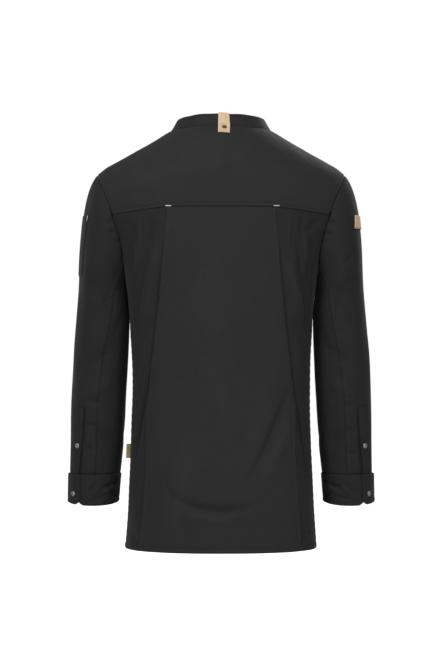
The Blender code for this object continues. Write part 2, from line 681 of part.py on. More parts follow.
COLUMN_TURNS, COLUMN_POINTS = sleeve_columns()
BACK_SEAM_COLUMN = len(RUN_TOP_BACK) + len(RUN_BACK) - 2
FRONT_SEAM_COLUMN = BACK_SEAM_COLUMN + len(RUN_UNDER_BACK) + len(RUN_UNDER_FRONT) - 2
# The two seams of a sleeve on their way down it.
SLEEVE_SEAMS = table(
    "down back_turn front_turn",
    (0.00, COLUMN_TURNS[BACK_SEAM_COLUMN], COLUMN_TURNS[FRONT_SEAM_COLUMN]),
    (0.60, 0.390, 0.610),
    (1.00, 0.342, 0.620),
    (1.10, 0.318, 0.622),
    (1.21, 0.297, 0.626),
    (1.49, 0.262, 0.636),
    (2.00, 0.258, 0.650),
)


def sleeve_panel(name, first, last, side, material):
    """Part of a sleeve between two of its columns; columns past the last of the ring start again."""
    ring = len(COLUMN_TURNS) - 1
    columns = np.arange(first, last + 1)
    start_turns = COLUMN_TURNS[columns % ring] + columns // ring
    downs = np.concatenate([np.linspace(0, 1, CAP_ROWS + 1), np.linspace(1, 2, TUBE_ROWS + 1)[1:]])
    ends = {BACK_SEAM_COLUMN: "back_turn", FRONT_SEAM_COLUMN: "front_turn"}
    seam_first = read(SLEEVE_SEAMS, "down", ends[first % ring], downs) + first // ring
    seam_last = read(SLEEVE_SEAMS, "down", ends[last % ring], downs) + last // ring
    share = (start_turns - start_turns[0]) / (start_turns[-1] - start_turns[0])
    turns = seam_first[:, None] + (seam_last - seam_first)[:, None] * share[None]
    downs = np.broadcast_to(downs[:, None], turns.shape)
    surface = sleeve(downs, turns)
    surface[0] = COLUMN_POINTS[columns % ring] + np.array(SLEEVE_SHIFT)
    normal = surface_normal(sleeve, downs, turns, 4e-3)
    mirror = np.array([side, 1, 1])
    inset = SEAM_GAP / 2
    outer = drawn_in(surface, inset) * mirror
    inner = drawn_in(surface - CLOTH * normal, inset) * mirror
    return add_cloth(name, outer, inner, material)


def make_sleeves(material):
    """Each sleeve in two pieces: the top sleeve over the outside, and the narrow under sleeve."""
    ring = len(COLUMN_TURNS) - 1
    for word, side in (("left", 1), ("right", -1)):
        sleeve_panel(f"sleeve_top_{word}", FRONT_SEAM_COLUMN, BACK_SEAM_COLUMN + ring, side, material)
        sleeve_panel(f"sleeve_under_{word}", BACK_SEAM_COLUMN, FRONT_SEAM_COLUMN, side, material)


# ---- cuffs and what lies on the sleeves ------------------------------------------------------------------
def make_cuffs(material):
    """Each cuff is a band wound a little over once round, its flap lying on its start."""
    end = CUFF_STEPS + CUFF_LAP
    steps = np.arange(CUFF_START, end + 1)
    top_z = CUFF_TOP_Z - SEAM_GAP
    steps, z = np.meshgrid(steps, np.linspace(top_z, CUFF_BOTTOM_Z, 5))
    turns = steps / CUFF_STEPS
    ramp = np.clip((turns - CUFF_RAMP[0]) / CUFF_RAMP[1], 0, 1)
    lift = CUFF_PROUD + ramp**2 * (3 - 2 * ramp) * (BAND_CLOTH + SEAM_GAP)
    corners = np.clip(CUFF_LAP - steps, 0, None) + np.clip(steps - end + 1, 0, None)
    hang = CUFF_CORNER * corners - CUFF_TILT * np.sin(2 * math.pi * turns)
    z = z + hang * (top_z - z) / (top_z - CUFF_BOTTOM_Z)
    for word, side in (("left", 1), ("right", -1)):
        mirror = np.array([side, 1, 1])
        outer = tube(turns, z, lift) * mirror
        inner = tube(turns, z, lift - BAND_CLOTH) * mirror
        add_cloth(f"cuff_{word}", outer, inner, material)


def down_at(turn, z):
    """How far down a sleeve a height lies, for one turn."""
    downs = np.linspace(0, 2, 401)
    return np.interp(-z, -sleeve_form(downs, turn)[:, 2], downs)


def sleeve_overlay(name, side, turn_edges, z_edges, rows, columns, wall, material):
    """Piece that lies on a sleeve between two turns and two heights; an edge may slant, top and bottom."""
    first, last = (np.broadcast_to(edge, 2) for edge in turn_edges)
    share = np.linspace(0, 1, rows + 1)
    firsts = np.interp(share, (0, 1), first)
    lasts = np.interp(share, (0, 1), last)
    turns = firsts[:, None] + (lasts - firsts)[:, None] * np.linspace(0, 1, columns + 1)
    z = np.interp(share, (0, 1), z_edges)
    downs = np.array([[down_at(turn, height) for turn in row] for row, height in zip(turns, z)])
    surface = sleeve(downs, turns)
    normal = surface_normal(sleeve, downs, turns, 4e-3)
    mirror = np.array([side, 1, 1])
    outer = (surface + (LYING_GAP + wall) * normal) * mirror
    inner = (surface + LYING_GAP * normal) * mirror
    return add_cloth(name, outer, inner, material)


def make_sleeve_trim(cloth, leather):
    """Pen pocket, sleeve plackets and the plain leather patch."""
    sleeve_overlay("pen_pocket", 1, (-0.085, 0.100), (-0.158, -0.272), 8, 8, CLOTH, cloth)
    sleeve_overlay("sleeve_patch", -1, (-0.045, (0.082, 0.104)), (-0.158, -0.183), 3, 6, PATCH_WALL, leather)
    for word, side in (("left", 1), ("right", -1)):
        heights = (STRIP_TOP_Z, CUFF_TOP_Z + 2 * SEAM_GAP)
        sleeve_overlay(f"sleeve_placket_{word}", side, STRIP_TURNS, heights, 11, 5, STRIP_WALL, cloth)


# ---- small pieces ----------------------------------------------------------------------------------------
def make_neck_loop(material):
    """Leather strap sewn at the yoke, up the outside of the collar, over its top and down its inside."""
    turns = np.linspace(*LOOP_TURNS_OF_NECK, 5)
    across = neckline(turns)[:, 0]
    along = neckline(turns)[:, 1] + LOOP_DROP
    foot, foot_inside = collar(turns, np.zeros(5)), collar_inside(turns, np.zeros(5))
    top, top_inside = collar(turns, np.ones(5)), collar_inside(turns, np.ones(5))
    out = (foot - foot_inside) / BAND_CLOTH
    up = np.array([0, 0, 1.0])
    slant = math.sqrt(0.5)
    clear = 1.7 * SEAM_GAP
    # Each row is a place on the jacket and the way from it to the strap, further off at the foot's bend.
    route = (
        (body(across, along), surface_normal(body, across, along, 1e-3)),
        (foot, 1.6 * slant * (out + up)),
        (collar(turns, np.full(5, 0.5)), out),
        (top, out),
        (top + SEAM_GAP * up, slant * (out + up)),
        (top_inside + SEAM_GAP * up, slant * (up - out)),
        (top_inside, -out),
        (collar_inside(turns, np.full(5, LOOP_INSIDE)), -out),
    )
    inner = np.array([place + clear * way for place, way in route])
    outer = np.array([place + (clear + STRAP) * way for place, way in route])
    return add_cloth("neck_loop", outer, inner, material)


def make_side_label(material):
    """Folded woven label, left bare, that stands out of the left side seam."""
    reach, heights = np.meshgrid(np.linspace(*LABEL_REACH, 3), np.linspace(LABEL_TOP_Z, LABEL_BOTTOM_Z, 4))
    side = read(BODY, "side_z", "half_width", heights)
    front = np.stack([side + reach, LABEL_BACK + LABEL_SLOPE * reach, heights], axis=-1)
    return add_cloth("side_label", front + np.array([0, LABEL_WALL, 0]), front, material)


def disc_profile(radius, height):
    """Side of a stud from its rim to its middle: (out, up) rows."""
    return (
        (0.98 * radius, 0.0),
        (radius, 0.35 * height),
        (0.90 * radius, 0.62 * height),
        (0.74 * radius, 0.62 * height),
        (0.66 * radius, 0.85 * height),
        (0.36 * radius, height),
    )


def make_stud(name, carrier, near, radius, height, material):
    """Stud cap that sits on the cloth of its carrier, at the point nearest to the one given."""
    steps = 12
    shape = bmesh.new()
    rim = [shape.verts.new((out, 0, up)) for out, up in disc_profile(radius, height)]
    edges = [shape.edges.new(pair) for pair in zip(rim[:-1], rim[1:])]
    bmesh.ops.spin(shape, geom=rim + edges, cent=(0, 0, 0), axis=(0, 0, 1), angle=2 * math.pi, steps=steps)
    bmesh.ops.remove_doubles(shape, verts=shape.verts[:], dist=1e-5)
    bmesh.ops.holes_fill(shape, edges=[edge for edge in shape.edges if edge.is_boundary], sides=0)
    stud = add_object(name, shape, material)
    skin = BVHTree.FromPolygons(
        [vertex.co for vertex in carrier.data.vertices], [face.vertices for face in carrier.data.polygons]
    )
    seat, normal, _, _ = skin.find_nearest(Vector(near))
    stud.rotation_euler = normal.to_track_quat("Z", "Y").to_euler()
    stud.location = seat + normal * SEAM_GAP
    return stud


def make_studs(steel, brown, objects):
    """Press studs of the front, cuffs and sleeve plackets, and the rivet of the neck loop."""
    for i in range(FRONT_STUDS):
        z = TOP_FRONT_STUD_Z + (LOW_FRONT_STUD_Z - TOP_FRONT_STUD_Z) * i / (FRONT_STUDS - 1)
        near = body(*place_on_body(0.0001, z, -1)) + np.array([0, -0.01, 0])
        make_stud(f"front_stud_{i + 1}", objects["front_placket"], near, STUD_RADIUS, STUD_HEIGHT, steel)
    for word, side in (("left", 1), ("right", -1)):
        mirror = np.array([side, 1, 1])
        for name, carrier, place in (
            ("cuff_stud", "cuff", CUFF_STUD),
            ("placket_stud", "sleeve_placket", STRIP_STUD),
        ):
            near = tube(*place, 0.01) * mirror
            carried_by = objects[f"{carrier}_{word}"]
            make_stud(f"{name}_{word}", carried_by, near, STUD_RADIUS, STUD_HEIGHT, steel)
    make_stud("neck_loop_rivet", objects["neck_loop"], RIVET_NEAR, RIVET_RADIUS, RIVET_HEIGHT, brown)


def main():
    for old in list(bpy.data.objects):
        bpy.data.objects.remove(old)
    twill = finish_of("black_twill", (0.160, 0.160, 0.162), 0.85)
    back_twill = finish_of("black_back_cloth", (0.180, 0.180, 0.184), 0.80)
    leather = finish_of("tan_leather", (0.84, 0.75, 0.63), 0.60)
    steel = finish_of("grey_stud", (0.42, 0.42, 0.43), 0.35, 1.0)
    rivet = finish_of("brown_rivet", (0.36, 0.28, 0.20), 0.45)
    woven = finish_of("woven_label", (0.56, 0.52, 0.40), 0.90)
    make_yoke(back_twill)
    make_backs(back_twill, twill)
    make_fronts(twill)
    make_placket(twill)
    make_collar(back_twill)
    make_sleeves(twill)
    make_cuffs(twill)
    make_sleeve_trim(twill, leather)
    make_neck_loop(leather)
    make_side_label(woven)
    make_studs(steel, rivet, bpy.data.objects)


main()
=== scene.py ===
# %% [markdown]
# # A chef jacket, worn but empty
#
# The jacket hangs as if someone stood in it: a yoke, a back in three panels, two fronts closed by a band of press
# studs, two-piece sleeves with cuffs, and a stand collar with a leather loop. Cloth can be simulated, but here each
# crease has a known place, so every panel is a fine grid on one smooth form, raised or sunk by tables of folds. The
# seams then meet exactly, as on the real thing.

import math

import bmesh
import bpy
import numpy as np
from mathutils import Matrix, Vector, noise
from mathutils.bvhtree import BVHTree


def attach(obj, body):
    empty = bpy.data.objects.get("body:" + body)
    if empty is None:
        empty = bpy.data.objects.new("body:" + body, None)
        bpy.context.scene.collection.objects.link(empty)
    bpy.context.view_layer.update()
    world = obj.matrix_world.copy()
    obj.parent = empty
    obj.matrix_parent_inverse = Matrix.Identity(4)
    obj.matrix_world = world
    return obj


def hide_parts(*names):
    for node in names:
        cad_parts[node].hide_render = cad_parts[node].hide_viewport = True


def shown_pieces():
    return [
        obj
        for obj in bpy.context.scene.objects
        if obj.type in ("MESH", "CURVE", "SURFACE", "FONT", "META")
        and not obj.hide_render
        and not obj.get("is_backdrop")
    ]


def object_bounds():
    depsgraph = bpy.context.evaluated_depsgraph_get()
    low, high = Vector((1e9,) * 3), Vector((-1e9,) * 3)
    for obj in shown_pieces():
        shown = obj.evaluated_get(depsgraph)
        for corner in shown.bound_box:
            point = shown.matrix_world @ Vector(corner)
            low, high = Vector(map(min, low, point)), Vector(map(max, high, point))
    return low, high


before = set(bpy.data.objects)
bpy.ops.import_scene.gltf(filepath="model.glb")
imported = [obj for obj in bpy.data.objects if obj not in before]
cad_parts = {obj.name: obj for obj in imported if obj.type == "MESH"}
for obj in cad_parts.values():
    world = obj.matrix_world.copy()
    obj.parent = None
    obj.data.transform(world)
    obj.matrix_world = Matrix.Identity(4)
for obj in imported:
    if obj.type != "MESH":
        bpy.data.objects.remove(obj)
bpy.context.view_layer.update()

# %% [markdown]
# ## Camera, floor and light
#
# The jacket is looked at square from behind, at half its height, from 3.3 m. A softbox high on the left gives the
# yoke and the sleeve caps their light, weaker ones on the right and over the camera open the shadows, and two in front
# serve views from there. Black cloth needs such grazing light: its folds show by sheen more than by shade.

# %% Camera
VIEW_HEIGHT = 1.2635  # metres of the view from top to bottom, at the jacket
VIEW_DISTANCE = 3.3
VIEW_PLACE = (-0.0008, VIEW_DISTANCE, -0.379)
SENSOR = 36.0  # millimetres, along the longer side


def put(name, data):
    """A new object in the scene, made of the given data."""
    made = bpy.data.objects.new(name, data)
    bpy.context.scene.collection.objects.link(made)
    return made


camera = put("camera", bpy.data.cameras.new("camera"))
camera.data.lens = SENSOR * VIEW_DISTANCE / VIEW_HEIGHT
camera.location = VIEW_PLACE
camera.rotation_euler = (math.radians(90), 0, math.radians(180))
bpy.context.scene.camera = camera
bpy.context.scene.view_settings.view_transform = "Standard"


# %% Lights
def softbox(name, place, aim_z, width, height, power):
    """An area light at a place, turned to a height on the jacket's middle line."""
    light = put(name, bpy.data.lights.new(name, "AREA"))
    light.data.shape = "RECTANGLE"
    light.data.size, light.data.size_y, light.data.energy = width, height, power
    light.location = place
    light.rotation_euler = (Vector((0, 0, aim_z)) - Vector(place)).to_track_quat("-Z", "Y").to_euler()


softbox("key", (1.3, 1.9, 1.6), -0.2, 0.6, 0.6, 56)
softbox("fill", (-2.1, 2.6, 0.7), -0.4, 0.8, 1.2, 31)
softbox("top", (0, 0.9, 2.4), -0.2, 1.8, 0.8, 10)
softbox("over_camera", (-0.7, 2.8, 0.9), -0.3, 1.0, 1.0, 22)
softbox("front_key", (-1.9, -2.5, 1.6), -0.3, 1.2, 1.4, 55)
softbox("front_fill", (2.5, -2.0, 0.3), -0.4, 1.2, 1.8, 16)


# %% Helpers for nodes
def feed(node, **inputs):
    """Gives a node its inputs, each as a value or as a socket to link; i0 is the first one, and so on."""
    for label, value in inputs.items():
        key = int(label[1:]) if label[1:].isdigit() else label.replace("_", " ")
        if isinstance(value, bpy.types.NodeSocket):
            node.id_data.links.new(value, node.inputs[key])
        else:
            node.inputs[key].default_value = value
    return node


def add(tree, kind, settings=(), **inputs):
    """A new node of a tree with its settings and its inputs."""
    node = tree.nodes.new("ShaderNode" + kind)
    for label, value in dict(settings).items():
        setattr(node, label, value)
    return feed(node, **inputs)


def new_finish(name):
    """A new material, its node tree and its shader."""
    material = bpy.data.materials.new(name)
    material.use_nodes = True
    return material, material.node_tree, material.node_tree.nodes["Principled BSDF"]


# %% A white surround that gives little light
world = bpy.data.worlds.new("studio")
bpy.context.scene.world = world
world.use_nodes = True
sky = world.node_tree
sky.nodes.clear()
dim = add(sky, "Background", Color=(0.93, 0.96, 1.0, 1), Strength=0.10)
white = add(sky, "Background", Color=(1, 1, 1, 1), Strength=1.0)
seen = add(sky, "LightPath").outputs["Is Camera Ray"]
surround = add(sky, "MixShader", Fac=seen, i1=dim.outputs[0], i2=white.outputs[0])
add(sky, "OutputWorld", Surface=surround.outputs[0])

# %% Floor
FLOOR_Z = -1.25


def mesh_of(shape, name):
    """The mesh of a finished bmesh."""
    mesh = bpy.data.meshes.new(name)
    shape.to_mesh(mesh)
    shape.free()
    return mesh


disc = bmesh.new()
bmesh.ops.create_circle(disc, cap_ends=True, segments=96, radius=14.0)
bmesh.ops.translate(disc, verts=disc.verts[:], vec=(0, 0, FLOOR_Z))
floor = put("floor", mesh_of(disc, "floor"))
pale, pale_tree, pale_shader = new_finish("pale_floor")
feed(pale_shader, Base_Color=(0.92, 0.92, 0.92, 1), Roughness=0.9, Specular_IOR_Level=0.1, Emission_Strength=1.0)
feed(pale_shader, Emission_Color=add(pale_tree, "LightPath").outputs["Is Camera Ray"])
floor.data.materials.append(pale)
floor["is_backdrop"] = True

# %% [markdown]
# ## Sizes as short tables
#
# A tailor notes a garment as measures at heights: how wide, how deep, where a seam runs. The same is done here, in
# millimetres, or in thousandths where a column is a share, such as a turn. Between two rows the value follows a smooth
# curve, so a few rows describe a whole outline.

# %% Reading a table smoothly
CLOTH = 0.0015  # wall of one layer of twill with its turnings
BAND = 0.0022  # collar and cuffs
SEAM_GAP = 0.0003
LYING_GAP = 0.0005  # under a piece that lies on another
HEM_Z = -0.785
ARMPIT_Z = -0.255
SHOULDER_ROLL = 0.110  # drop from the shoulder line to where the cloth hangs upright
HALF_SPAN = 0.262  # reach of the shoulder line to each side
FORM_POWER = 2.4  # 2 makes a section oval, and more makes it boxy
HEM_ALONG = 4.76
QUARTER = math.pi / 2


def table(names, *rows):
    """A dict of one array for each named column, from rows in thousandths."""
    return dict(zip(names.split(), np.array(rows).T / 1000))


def eased(part, start, end, leaving, arriving):
    """Smooth way from start to end by the part of it that is done, with its slopes at both ends."""
    rest = 1 - part
    first = (1 + 2 * part) * rest**2 * start + part * rest**2 * leaving
    return first + part**2 * (3 - 2 * part) * end - part**2 * rest * arriving


def read(columns, place, value, at):
    """Smooth value of one column at places along another, held level past the ends."""
    xs, ys = columns[place], columns[value]
    slopes = np.gradient(ys, xs)
    at = np.clip(at, xs.min(), xs.max())
    low = np.clip(np.searchsorted(xs, at, side="right") - 1, 0, len(xs) - 2)
    step = xs[low + 1] - xs[low]
    return eased((at - xs[low]) / step, ys[low], ys[low + 1], step * slopes[low], step * slopes[low + 1])


# %% The form of the body
SHOULDER = table(
    "x z",
    (0, 31), (50, 24), (97, 2), (122.7, -13.3), (161.7, -36.1), (202.4, -58.9), (221.1, -70.3), (233.8, -81.7),
    (262, -109),
)
BODY = table(
    "side_z half_width back_depth front_depth",
    (-785, 181.6, 116, 120), (-716, 177, 114, 118), (-640, 173, 108, 118), (-564, 170, 100, 119),
    (-488, 168.4, 96, 121), (-420, 170, 98, 124), (-378, 172.5, 101, 125), (-344, 174, 105, 125),
    (-296, 178.9, 110, 121), (-255, 186.5, 112, 112), (-229, 196, 112, 104), (-205, 213, 110, 94),
    (-184, 230, 108, 88), (-157, 246, 106, 82), (-109, 262, 105, 75),
)
ARMHOLE = table(
    "z x",
    (-255, 186.5), (-232, 186.2), (-207.6, 189.3), (-187, 194.5), (-159, 203.5), (-144, 207.5), (-114, 220.5),
    (-81.7, 233.8),
)
NECKLINE = table(
    "turn x along",
    (0, 0, 440), (120, 30, 425), (220, 56, 360), (320, 78, 240), (390, 89.5, 120), (450, 94.5, 0), (510, 96, -130),
    (560, 95.5, -250), (680, 86, -500), (780, 69, -690), (880, 43, -830), (960, 16, -885), (1000, 0, -890),
    (1040, -16, -885),
)
PRINCESS = table(
    "z x",
    (-785, 153), (-721, 147), (-618, 141), (-531, 140.5), (-474, 136), (-405, 127.5), (-348, 121.5), (-298, 116),
    (-248, 110.5), (-195, 105), (-145, 100.8),
)
print("body tables:", len(BODY["side_z"]), "levels,", len(NECKLINE["turn"]), "points of the neckline")

# %% [markdown]
# ## Folds
#
# Worn cloth creases where it is pulled, and where a panel is longer than the body under it. Each crease is one row:
# where it starts and ends, each as a place across and a height, how far its middle bows aside, how wide it is, and how
# high it stands. A height under 0 is a trough. Their uneven lengths make them look like cloth.

# %% Creases of the back, the fronts and the sleeves
SLEEVE_ROUND = 0.32  # length once round a sleeve


def folds(*rows, over=1.0):
    """Creases in metres from rows in thousandths; over is what their places across are shares of."""
    return np.array(rows) / 1000 * (over, 1, over, 1, 1, 1, 1)


BACK_FOLDS = folds(
    (137, -440, 158, -640, 0, 14, -1.4), (-130, -430, -156, -660, 0, 14, -1.4), (-129, -476, -48, -656, 4, 6.5, -4.6),
    (-146, -500, -60, -690, 4, 10, 3.4), (-104, -470, -22, -680, 6, 18, 2), (98, -676, -66, -694, -20, 7, -4.6),
    (78, -704, -48, -712, -16, 8, 3.2), (130, -200, 146, -350, 0, 14, 3), (-132, -210, -148, -370, 0, 14, 3),
    (60, -560, 100, -790, 0, 20, 3), (0, -180, 30, -420, 0, 30, 2.5), (106, -645, 86, -696, 0, 7, -2.2),
    (86, -712, 56, -764, 3, 7, -2.2), (168, -742, 148, -790, 0, 6, -1.8), (-166, -735, -140, -790, 0, 6, -1.8),
    (-30, -560, -64, -660, 4, 9, -1.8), (108, -225, 122.5, -375, 0, 3, -2), (117, -310, 137.5, -500, 0, 3, -2.2),
    (131, -450, 160, -620, -2, 3.4, -5.6), (-108, -225, -122.5, -375, 0, 3, -2), (-117, -310, -136, -480, 0, 3, -2.4),
    (-131, -440, -162, -660, 2, 3.4, -5.8), (119, -205, 147, -352, 3, 5.5, 4), (131, -180, 162, -378, 2, 5.5, -4.2),
    (150, -172, 168, -300, 2, 5.5, 3.2), (165, -186, 160, -320, 0, 4.5, -3.2), (158, -160, 147, -220, 0, 4.5, 2),
    (132, -158, 128, -226, 0, 5, -2), (-124, -238, -152, -336, -3, 5.5, 4), (-140, -200, -164, -384, -2, 5.5, -4.2),
    (-156, -176, -168, -290, -2, 5.5, 3.2), (-167, -196, -160, -312, 0, 4.5, -3.2),
    (-128, -160, -123, -226, 0, 4.5, 2), (-149, -158, -147, -216, 0, 5, -2), (-142, -380, -150, -480, 0, 6, 2.2),
    (142, -380, 150, -480, 0, 6, 2.2), (178, -170, 150, -196, 0, 5, -2), (-182, -168, -146, -200, 0, 6, -2.2),
    (62, -70, 190, -112, 4, 12, 1.6), (-70, -75, -186, -118, 4, 12, 1.6), (30, -420, -10, -600, 10, 16, 1.6),
)
FRONT_FOLDS = folds(
    (150, -260, 80, -400, 0, 18, -3.5), (-150, -260, -85, -380, 0, 18, -3.5), (110, -500, 130, -790, 0, 22, 3.5),
    (-90, -520, -120, -790, 0, 22, 3.5), (130, -430, 60, -560, 0, 16, -3), (168, -250, 120, -310, 4, 7, -1.6),
    (-166, -246, -112, -318, 4, 7, -1.6), (-148, -400, -70, -500, 6, 10, -1.6), (90, -620, 150, -720, 6, 9, -1.4),
    (-60, -640, -140, -740, 6, 10, -1.6), (26, -190, 70, -120, 4, 8, -1), (-28, -230, -80, -150, 4, 8, -1),
)
# On a sleeve the place across is a turn. The finer creases differ between the two sleeves.
BOTH_SLEEVES = folds(
    (140, -270, 340, -330, 0, 13, -3), (360, -400, 200, -440, 0, 12, -3), (340, -470, 180, -500, 0, 12, 2.5),
    (600, -390, 840, -440, 0, 13, -4), (620, -450, 860, -480, 0, 13, 3), (220, -560, 400, -590, 0, 12, -2.5),
    (186, -506, 132, -788, 0, 2.8, -3.4), (50, -603.5, 176, -603.5, 0, 1.8, -1.6),
    over=SLEEVE_ROUND,
)
LEFT_CREASES = folds(
    (190, -174, 380, -164, 2, 4.2, -3.4), (230, -192, 420, -184, 2, 4.2, -3.2), (280, -210, 440, -202, 2, 4.2, -3.2),
    (200, -183, 400, -174, 2, 4, 1.6), (195, -505, 268, -511, 1, 4.2, -3.2), (190, -550, 262, -557, 1, 4.2, -3),
    (180, -594, 256, -601, 1, 4.2, -3.2), (330, -300, 210, -360, 4, 7, -1.3), (420, -330, 320, -400, 4, 7, -1.6),
    (900, -250, 760, -330, 4, 8, -1.5), (640, -520, 820, -570, 4, 7, -1.5), (440, -520, 560, -600, 4, 7, -1.4),
    (50, -300, 90, -470, 4, 13, 1.2), (490, -235, 490, -350, 0, 30, 1.8),
    over=SLEEVE_ROUND,
)
RIGHT_CREASES = folds(
    (180, -178, 380, -164, 2, 4.2, -3.6), (250, -196, 420, -186, 2, 4.2, -3.2), (130, -218, 225, -250, 3, 5, -3),
    (195, -512, 266, -519, 1, 4.2, -3), (190, -566, 256, -560, 1, 4.2, -3.2), (185, -610, 250, -604, 1, 4.2, -2.8),
    (320, -320, 200, -350, 4, 7, -1.3), (430, -350, 330, -420, 4, 7, -1.6), (880, -270, 720, -340, 4, 8, -1.5),
    (660, -500, 840, -560, 4, 7, -1.5), (460, -540, 580, -610, 4, 7, -1.4), (30, -330, 80, -500, 4, 13, 1.2),
    over=SLEEVE_ROUND,
)
SLEEVE_FOLDS = {1: np.vstack([BOTH_SLEEVES, LEFT_CREASES]), -1: np.vstack([BOTH_SLEEVES, RIGHT_CREASES])}
print("folds of the back:", len(BACK_FOLDS), "and of the left sleeve:", len(SLEEVE_FOLDS[1]))


# %% How high the cloth stands
ELSEWHERE = 3.7  # metres away, where the noise has nothing to do with the noise here


def fold_height(rows, across, up):
    """Height of the cloth over its smooth form, summed over the folds."""
    total = 0.0
    for start_x, start_z, end_x, end_z, bow, width, height in rows:
        run = np.array([end_x - start_x, end_z - start_z])
        length = np.hypot(*run)
        over, under = across - start_x, up - start_z
        share = (over * run[0] + under * run[1]) / length**2
        taper = np.clip(1 - (2 * share - 1) ** 2, 0, 1)
        aside = (over * run[1] - under * run[0]) / length - bow * taper
        total = total + height * taper * np.exp(-((aside / width) ** 2))
    return total


def unevenness(points, size, stretch=(1, 1, 1)):
    """Soft irregular heights from -1 to 1 that change over about the given size."""
    scaled = points.reshape(-1, 3) / (size * np.array(stretch))
    return np.array([noise.noise(Vector(place)) for place in scaled.tolist()]).reshape(points.shape[:-1])


def rumple(points):
    """Faint unevenness of hanging cloth: broad swells and long upright ripples."""
    return 0.0010 * unevenness(points, 0.085) + 0.0008 * unevenness(points + ELSEWHERE, 0.030, (1, 1, 5))


# %% [markdown]
# ## One form for the whole body
#
# A place on the body has two numbers: `across`, the angle from the centre line to the side, and `along`, which is 0 on
# the shoulder line, 1 where the shoulder has rolled into the upright, and 4.76 at the hem (negative in front).
# All panels are cut from this one surface, as a tailor cuts pieces that must match at every seam.


# %% The body's surface
FADE = 0.35  # radians across, over which folds die away at a side


def unit_section(across):
    """Rounded-box section of half width 1 and depth 1."""
    sine, cosine = np.sin(across), np.cos(across)
    reach = (np.abs(sine) ** FORM_POWER + np.abs(cosine) ** FORM_POWER) ** (-1 / FORM_POWER)
    return reach * sine, reach * cosine


def side_height(along):
    """Height of the section's side, the shoulder's roll and how far below the roll it is."""
    roll = SHOULDER_ROLL * (1 - np.cos(np.minimum(np.abs(along), 1) * QUARTER))
    below = np.clip((np.abs(along) - 1) / (HEM_ALONG - 1), 0, None)
    end_z = SHOULDER["z"][-1]
    return end_z - roll + below * (HEM_Z - end_z + SHOULDER_ROLL), roll, below


def body_form(across, along):
    """Smooth body, without folds."""
    wide, deep = unit_section(across)
    side_z, roll, below = side_height(along)
    width, back, front = (read(BODY, "side_z", name, side_z) for name in ("half_width", "back_depth", "front_depth"))
    ridge = read(SHOULDER, "x", "z", np.abs(HALF_SPAN * wide))
    z = ridge - roll + below * (HEM_Z - ridge + SHOULDER_ROLL)
    level = np.sin(np.minimum(np.abs(along), 1) * QUARTER)
    return np.stack([width * wide, np.where(along > 0, back, -front) * deep * level, z], axis=-1)


def unit(vectors):
    """The same directions with length 1."""
    return vectors / np.linalg.norm(vectors, axis=-1, keepdims=True)


def surface_normal(form, u, v, step=1e-4):
    """Unit normal of a form by small steps, facing out."""
    return unit(np.cross(form(u + step, v) - form(u - step, v), form(u, v + step) - form(u, v - step)))


def body_folds(point, across, along):
    """Height of the folds on the body, which die away towards its sides."""
    back, front = (fold_height(rows, point[..., 0], point[..., 2]) for rows in (BACK_FOLDS, FRONT_FOLDS))
    return np.where(along > 0, back, front) * np.clip((QUARTER - np.abs(across)) / FADE, 0, 1)


def body(across, along):
    """Body with its folds and its unevenness."""
    across, along = np.broadcast_arrays(np.asarray(across, float), np.asarray(along, float))
    point = body_form(across, along)
    height = body_folds(point, across, along) + rumple(point)
    return point + height[..., None] * surface_normal(body_form, across, along)


# %% Places on flat cloth
DOWN_EACH = 0.163  # metres down the cloth for each 1 of along
BACK_TO_WIDTH = 0.6  # depth of a usual section as a share of its half width
ROUND = np.linspace(0, QUARTER, 91)


def run_of(points):
    """How far each point of a line lies from its start, along the line."""
    return np.concatenate([[0], np.cumsum(np.linalg.norm(np.diff(points, axis=0), axis=-1))])


def width_at(along):
    """Half width of the body at a place along it."""
    return read(BODY, "side_z", "half_width", side_height(along)[0])


ROUND_RUN = run_of(np.stack(unit_section(ROUND), axis=-1) * (1, BACK_TO_WIDTH))


def body_flat(across, along):
    """A place of the body on flat cloth, in metres, so that the weave lies as it would there."""
    out = np.sign(across) * width_at(along) * np.interp(np.abs(across), ROUND, ROUND_RUN)
    return np.stack([out, -DOWN_EACH * along], axis=-1)


# %% Finding a place from the outside
def angle_at(x, wide):
    """The angle across where a section is wide by a share of its half width, on the side that x is on."""
    deep = np.clip(1 - wide**FORM_POWER, 0, 1) ** (1 / FORM_POWER)
    return np.sign(x) * np.arctan2(wide, deep)


def place_on_body(x, z, side):
    """(across, along) of a point given by its x and z; side is 1 behind and -1 in front."""
    x, z = np.broadcast_arrays(np.asarray(x, float), np.asarray(z, float))
    wide = np.abs(x) / HALF_SPAN
    for _ in range(60):
        ridge = read(SHOULDER, "x", "z", HALF_SPAN * wide)
        drop = np.maximum(ridge - z, 0)
        rolled = np.arccos(np.clip(1 - drop / SHOULDER_ROLL, 0, 1)) / QUARTER
        below = (drop - SHOULDER_ROLL) / (ridge - SHOULDER_ROLL - HEM_Z)
        along = np.where(drop < SHOULDER_ROLL, rolled, 1 + below * (HEM_ALONG - 1))
        wide = 0.5 * wide + 0.5 * np.clip(np.abs(x) / width_at(along), 0, 1)
    return np.stack([angle_at(x, wide), side * along], axis=-1)


# %% [markdown]
# ## Seam lines
#
# Each seam is one line of places on the body, and the two panels that are sewn there both use it.

# %% Lines that seams are made of
FINE = 241  # places of a line
FRONT_SHOULDER_SEAM = -0.25
SHOULDER_TURN = 0.56


def armhole_half(side):
    """Half the armhole from the shoulder line down to the armpit, behind or in front."""
    ease = (1 - np.cos(np.linspace(0, math.pi, FINE))) / 2
    top_z = read(SHOULDER, "x", "z", ARMHOLE["x"][-1])
    z = top_z + (ARMPIT_Z - top_z) * ease
    places = place_on_body(read(ARMHOLE, "z", "x", z), z, side)
    places[0, 1] = 0.0
    places[-1, 0] = QUARTER
    return places


